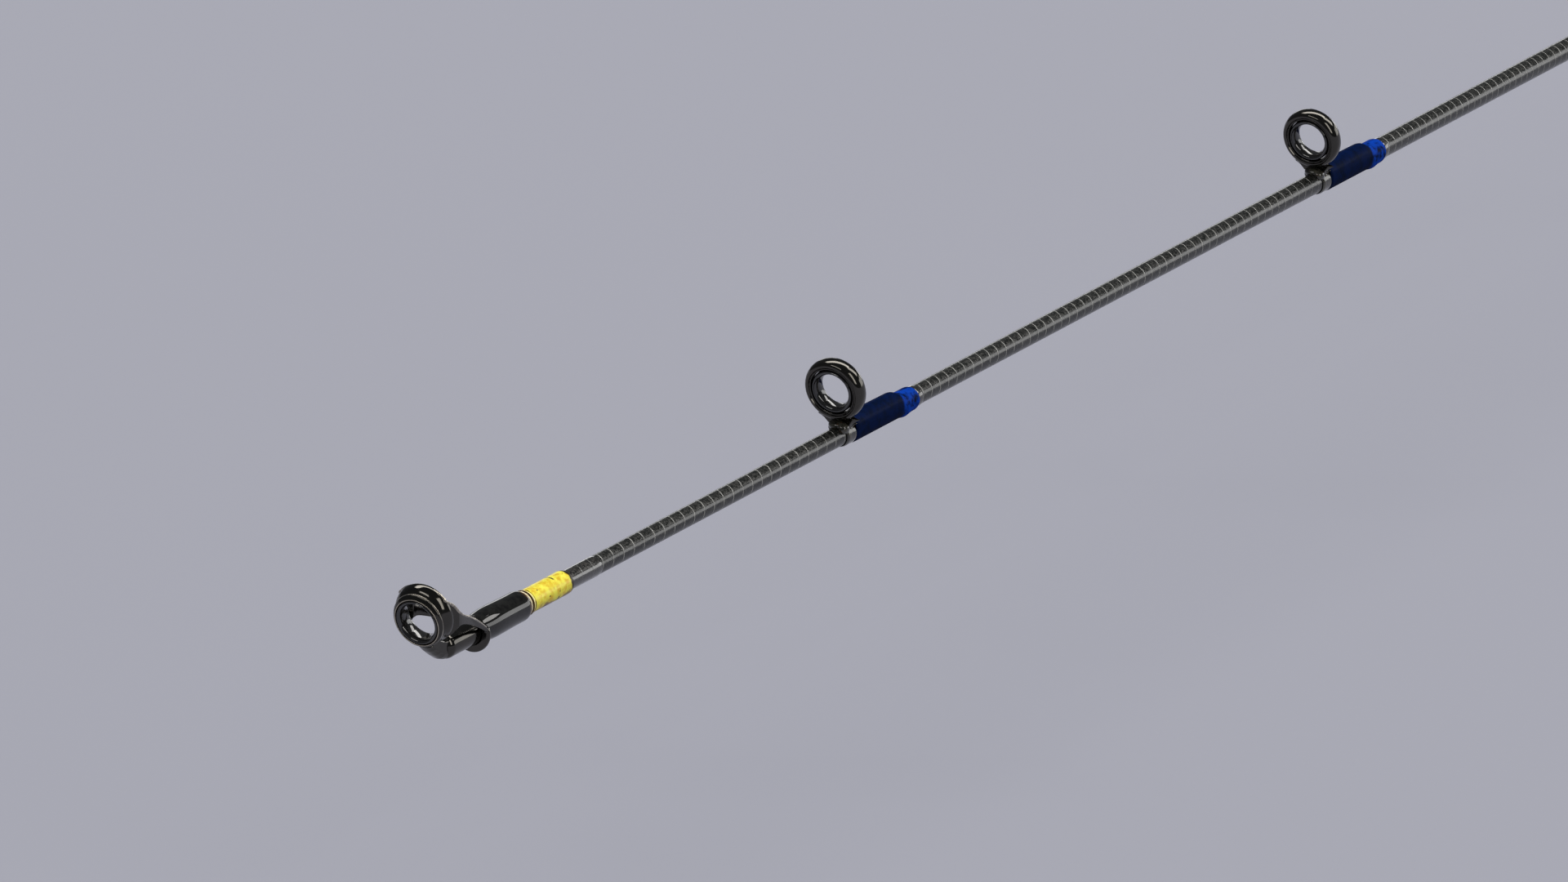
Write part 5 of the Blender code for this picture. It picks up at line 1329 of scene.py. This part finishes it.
def trigger_shape():
    """The finger trigger: a tongue that hangs below the barrel and hooks forward, thick at its root."""
    root = SEAT_START * UNIT + 40
    top, depth, hook = SEAT_RADIUS * UNIT - 1.8, 31.0, 7
    root_length, tip_length, root_width, tip_width, pinched_by = 17, 5.5, 12.5, 8.5, 0.45
    front, back = [], []
    for share in spread(0, 1, 15):
        length = root_length + (tip_length - root_length) * ease(share / pinched_by)
        centre = root + hook * share * share
        height = -(top + (depth - 0.4 - top) * share)
        front.append((centre + length / 2, height))
        back.append((centre - length / 2, height))
    tip = arc((root + hook, -(depth - 0.5)), (tip_length / 2, 0.5), 0, -180, 9)
    piece = plate("trigger_shape", front + tip[1:-1] + back[::-1], -0.5, 0.5)
    bpy.ops.object.mode_set(mode="EDIT")
    bpy.ops.mesh.select_all(action="SELECT")
    bpy.ops.mesh.subdivide(number_cuts=2)
    bpy.ops.object.mode_set(mode="OBJECT")

    def widen(point):
        """The tongue is wide at its root and narrows like its length."""
        share = (-point.z - top) / (depth - top)
        width = root_width + (tip_width - root_width) * ease(share / pinched_by)
        return Vector((point.x, point.y * width, point.z))

    reshape(piece, widen)
    return fuse("trigger_shape", [piece], 0.4, 22)


cut_with(seat, trigger_shape(), "UNION")
wear(seat, NYLON, "butt_section", "seat_plastic", "reel_seat")

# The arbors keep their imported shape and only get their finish: wound fibre, drawn out along the rod.
arbor_material, tree, shader = new_material("arbor_fibre", Roughness=0.85, Specular_IOR_Level=0.3)
stretched = {"Vector": own_place(tree), "Scale": (0.2, 1.0, 1.0)}
fibre = noise(tree, add_node(tree, "Mapping", stretched).outputs[0], 0.3 * MM, 5.0, 0.7)
tree.links.new(mixed(tree, fibre, (0.30, 0.24, 0.16), (0.62, 0.54, 0.40)), shader.inputs["Base Color"])
raise_surface(tree, shader, fibre, 0.1 * MM, 0.6)
for number in (1, 2, 3):
    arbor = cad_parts[f"seat_arbor_{number}"]
    arbor.data.materials.clear()
    arbor.data.materials.append(arbor_material)

# The moving hood. A nylon moulding like the seat, it slides along the deck and holds the front of the reel
# foot in its pocket. A knurled nut of blue anodised aluminium, on the seat's thread, drives it.
low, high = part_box("moving_hood")
hood_start, hood_end = low.x, high.x
hood_bore_radius = SEAT_RADIUS + SEAT_GAP
hood_collar = SEAT_RADIUS + 2.1 * MM
stations = [hood_start] + spread(hood_start + 0.15 * MM, hood_start + 0.6 * MM, 4)
stations += spread(hood_start + 1.5 * MM, hood_end - 3.2 * MM, 10) + spread(hood_end - 3 * MM, hood_end, 22)
points = [(x, hood_collar) for x in stations]
points += [(x, hood_bore_radius) for x in spread(hood_end, hood_start, 8)]
hood = turned("sliding_hood", points, FINE_SIDES)


def hood_skin(x, angle):
    """The hood's outside: an arch that falls to a round collar in front, with both edges broken."""
    falling = ease((x - hood_end + 3 * MM) / (2.4 * MM))
    reach = hood_collar + (hood_reach(angle, hood_collar) - hood_collar) * (1 - falling)
    edge = max(0.0, 0.6 * MM - (x - hood_start), 0.9 * MM - (hood_end - x))
    return reach - 0.6 * edge


def hood_bore(angle):
    """The hood's bore: round, with a flat that runs on the deck."""
    return soft_min(hood_bore_radius, deck_reach(angle, DECK_HEIGHT + SEAT_GAP), 0.2 * MM)


def shape_hood(point):
    """The outside takes the arch, and the bore keeps to the flat of the deck."""
    angle = math.atan2(point.z, point.y)
    inside = math.hypot(point.y, point.z) < hood_bore_radius + 0.02 * MM
    return at_reach(point, hood_bore(angle) if inside else hood_skin(point.x, angle))


reshape(hood, shape_hood)
cut_with(hood, pocket_shape(hood_start - 2 * MM, hood_start + 14 * MM))
wear(hood, NYLON, "moving_hood", "seat_plastic", "moving_hood")

# The nut: rounded edges outside, bevels inside, and fine flutes for the fingers.
low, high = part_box("locking_nut")
nut_start, nut_end, nut_radius = low.x, high.x, high.y
nut_bore = THREAD_CREST + SEAT_GAP
NUT_FLUTES, FLUTE_DEPTH = 30, 0.45 * MM
rounding, bevel = 0.6 * MM, 0.4 * MM
stations = spread(nut_start + rounding, nut_end - rounding, 24)
points = rear_corner(nut_start, nut_radius, rounding)
points += [(x, nut_radius) for x in stations[1:-1]]
points += front_corner(nut_end, nut_radius, rounding)
points += [(nut_end, nut_bore + bevel), (nut_end - bevel, nut_bore), (nut_start + bevel, nut_bore)]
points += [(nut_start, nut_bore + bevel)]
nut = turned("knurled_nut", points, NUT_FLUTES * 10)


def knurl(x, angle):
    """Depth of the flutes along the nut, which leave a plain band at its front."""
    wave = 0.5 - 0.5 * math.cos(angle * NUT_FLUTES)
    band = ease((x - nut_start - 1.0 * MM) / (0.5 * MM)) * ease((nut_end - 2.6 * MM - x) / (0.5 * MM))
    return FLUTE_DEPTH * wave ** 3 * band


def flute(point):
    """The outside of the nut sinks into the flutes."""
    reach = math.hypot(point.y, point.z)
    if reach < nut_radius - 0.7 * MM:
        return point
    return at_reach(point, reach - knurl(point.x, math.atan2(point.z, point.y)))


reshape(nut, flute)
wear(nut, ANODISED, "locking_nut", "blue_metal", "locking_nut")

# The hook keeper. A steel wire bent to a low loop, plated like the guides, stands below the blank in front of
# the fore grip. Its flattened feet are tied down with blue thread.
low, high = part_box("hook_keeper")
keeper_x = (low.x + high.x) / 2 * UNIT
keeper_drop = -low.z * UNIT
base = blank_top(keeper_x)
loop, wire, foot, half_width = 5.0, 1.0, 10.4, 0.55
heel, toe = 0.75, 0.2
outer = arc((0, 0.1 - base), (loop, keeper_drop - base + 0.1), 180, 360, 30)
inner = arc((0, 0.1 - base), (loop - wire, keeper_drop - base + 0.1 - wire), 360, 180, 26)
points = outer[1:-1] + [(loop, -base - heel), (foot, -base - toe), (foot, -base), (loop - wire, -base)]
points += inner[1:-1] + [(wire - loop, -base), (-foot, -base), (-foot, -base - toe), (-loop, -base - heel)]
keeper = plate("keeper_wire", points, -half_width, half_width)
reshape(keeper, lambda point: point + Vector((keeper_x, 0, 0)))
wear(fuse("bent_hook_keeper", [keeper], 0.11, 8), PLATING, "butt_section", "guide_black", "hook_keeper")
for label, toward_tip in (("rear_wrap", False), ("front_wrap", True)):
    near, far = wrap_ends("keeper_" + label, toward_tip)
    way = 1 if toward_tip else -1
    tie_down("keeper", "butt_section", near, far - way * 2.5 * MM, far, 0.66 * MM, 0.6 * MM, label, up=-1)

# The stage. A pale floor lies under the rod, soft lamps stand round it, and the camera stands where the
# photograph was taken from.
CAMERA_AZIMUTH = math.radians(121)
CAMERA_ELEVATION = math.radians(18.5)
CAMERA_AIM = Vector((1898 * MM, 0, 0))
CAMERA_DISTANCE = 1137 * MM
CAMERA_RIGHT = -5.4 * MM
CAMERA_UP = -0.365 * MM
CAMERA_LENS = 248.8

camera_data = bpy.data.cameras.new("camera")
camera_data.lens = CAMERA_LENS
camera = bpy.data.objects.new("camera", camera_data)
bpy.context.scene.collection.objects.link(camera)
camera.rotation_euler = (math.pi / 2 - CAMERA_ELEVATION, 0, CAMERA_AZIMUTH)
turn = camera.rotation_euler.to_matrix()
camera.location = CAMERA_AIM + turn @ Vector((CAMERA_RIGHT, CAMERA_UP, CAMERA_DISTANCE))
bpy.context.scene.camera = camera

floor_material, tree, shader = new_material("pale_floor", Roughness=0.8, Specular_IOR_Level=0.1)
patch = noise(tree, own_place(tree), 0.4)
tree.links.new(mixed(tree, patch, (0.165, 0.168, 0.196), (0.17, 0.173, 0.201)), shader.inputs["Base Color"])
shader.inputs["Emission Color"].default_value = (0.205, 0.208, 0.242, 1)
light_path = add_node(tree, "LightPath")
seen = calc(tree, "ADD", light_path.outputs["Is Camera Ray"], light_path.outputs["Is Glossy Ray"])
seen = calc(tree, "MINIMUM", calc(tree, "ADD", seen, light_path.outputs["Is Transmission Ray"]), 1.0)
tree.links.new(seen, shader.inputs["Emission Strength"])
bpy.ops.mesh.primitive_plane_add(size=30, location=(1, 0, cad_bounds[0][2] - 0.3 * MM))
floor = settle(bpy.context.object)
floor.name = "floor"
floor.data.materials.append(floor_material)


def softbox(name, place, aim, width, height, power, colour=(1, 1, 1)):
    """A rectangular lamp at place, turned to face aim."""
    data = bpy.data.lights.new(name, "AREA")
    data.shape = "RECTANGLE"
    data.size = width
    data.size_y = height
    data.energy = power
    data.color = colour
    lamp = bpy.data.objects.new(name, data)
    bpy.context.scene.collection.objects.link(lamp)
    lamp.location = place
    lamp.rotation_euler = (Vector(aim) - Vector(place)).to_track_quat("-Z", "Y").to_euler()


ROD_TIP = (1.95, 0, 0)
OVER_ROD_TIP = (1.95, 0, 0.1)
WARM_WHITE = (1.0, 0.98, 0.95)
softbox("overhead_light", (0.75, -0.75, 3.0), ROD_TIP, 4.1, 1.0, 88, WARM_WHITE)
softbox("shoulder_light", (-0.35, 1.7, 2.7), ROD_TIP, 1.1, 2.3, 40, WARM_WHITE)
softbox("front_light", (4.0, -0.4, 2.3), ROD_TIP, 1.7, 0.45, 10, WARM_WHITE)
softbox("right_light", (2.4, 2.5, 1.55), ROD_TIP, 0.9, 2.1, 22, (1.0, 0.97, 0.93))
softbox("side_light", (-5.42, 5.16, 1.42), OVER_ROD_TIP, 5.2, 2.8, 112)
softbox("edge_light", (-6.2, 0.25, 0.6), OVER_ROD_TIP, 2.6, 1.2, 40)
softbox("low_light", (-1.4, -2.4, 0.35), (1.9, 0, 0), 1.2, 0.7, 4)

world = bpy.data.worlds.new("studio")
bpy.context.scene.world = world
world.use_nodes = True
sky = world.node_tree.nodes["Background"]
sky.inputs["Color"].default_value = (0.82, 0.86, 0.92, 1)
sky.inputs["Strength"].default_value = 0.11
bpy.context.scene.view_settings.view_transform = "Standard"
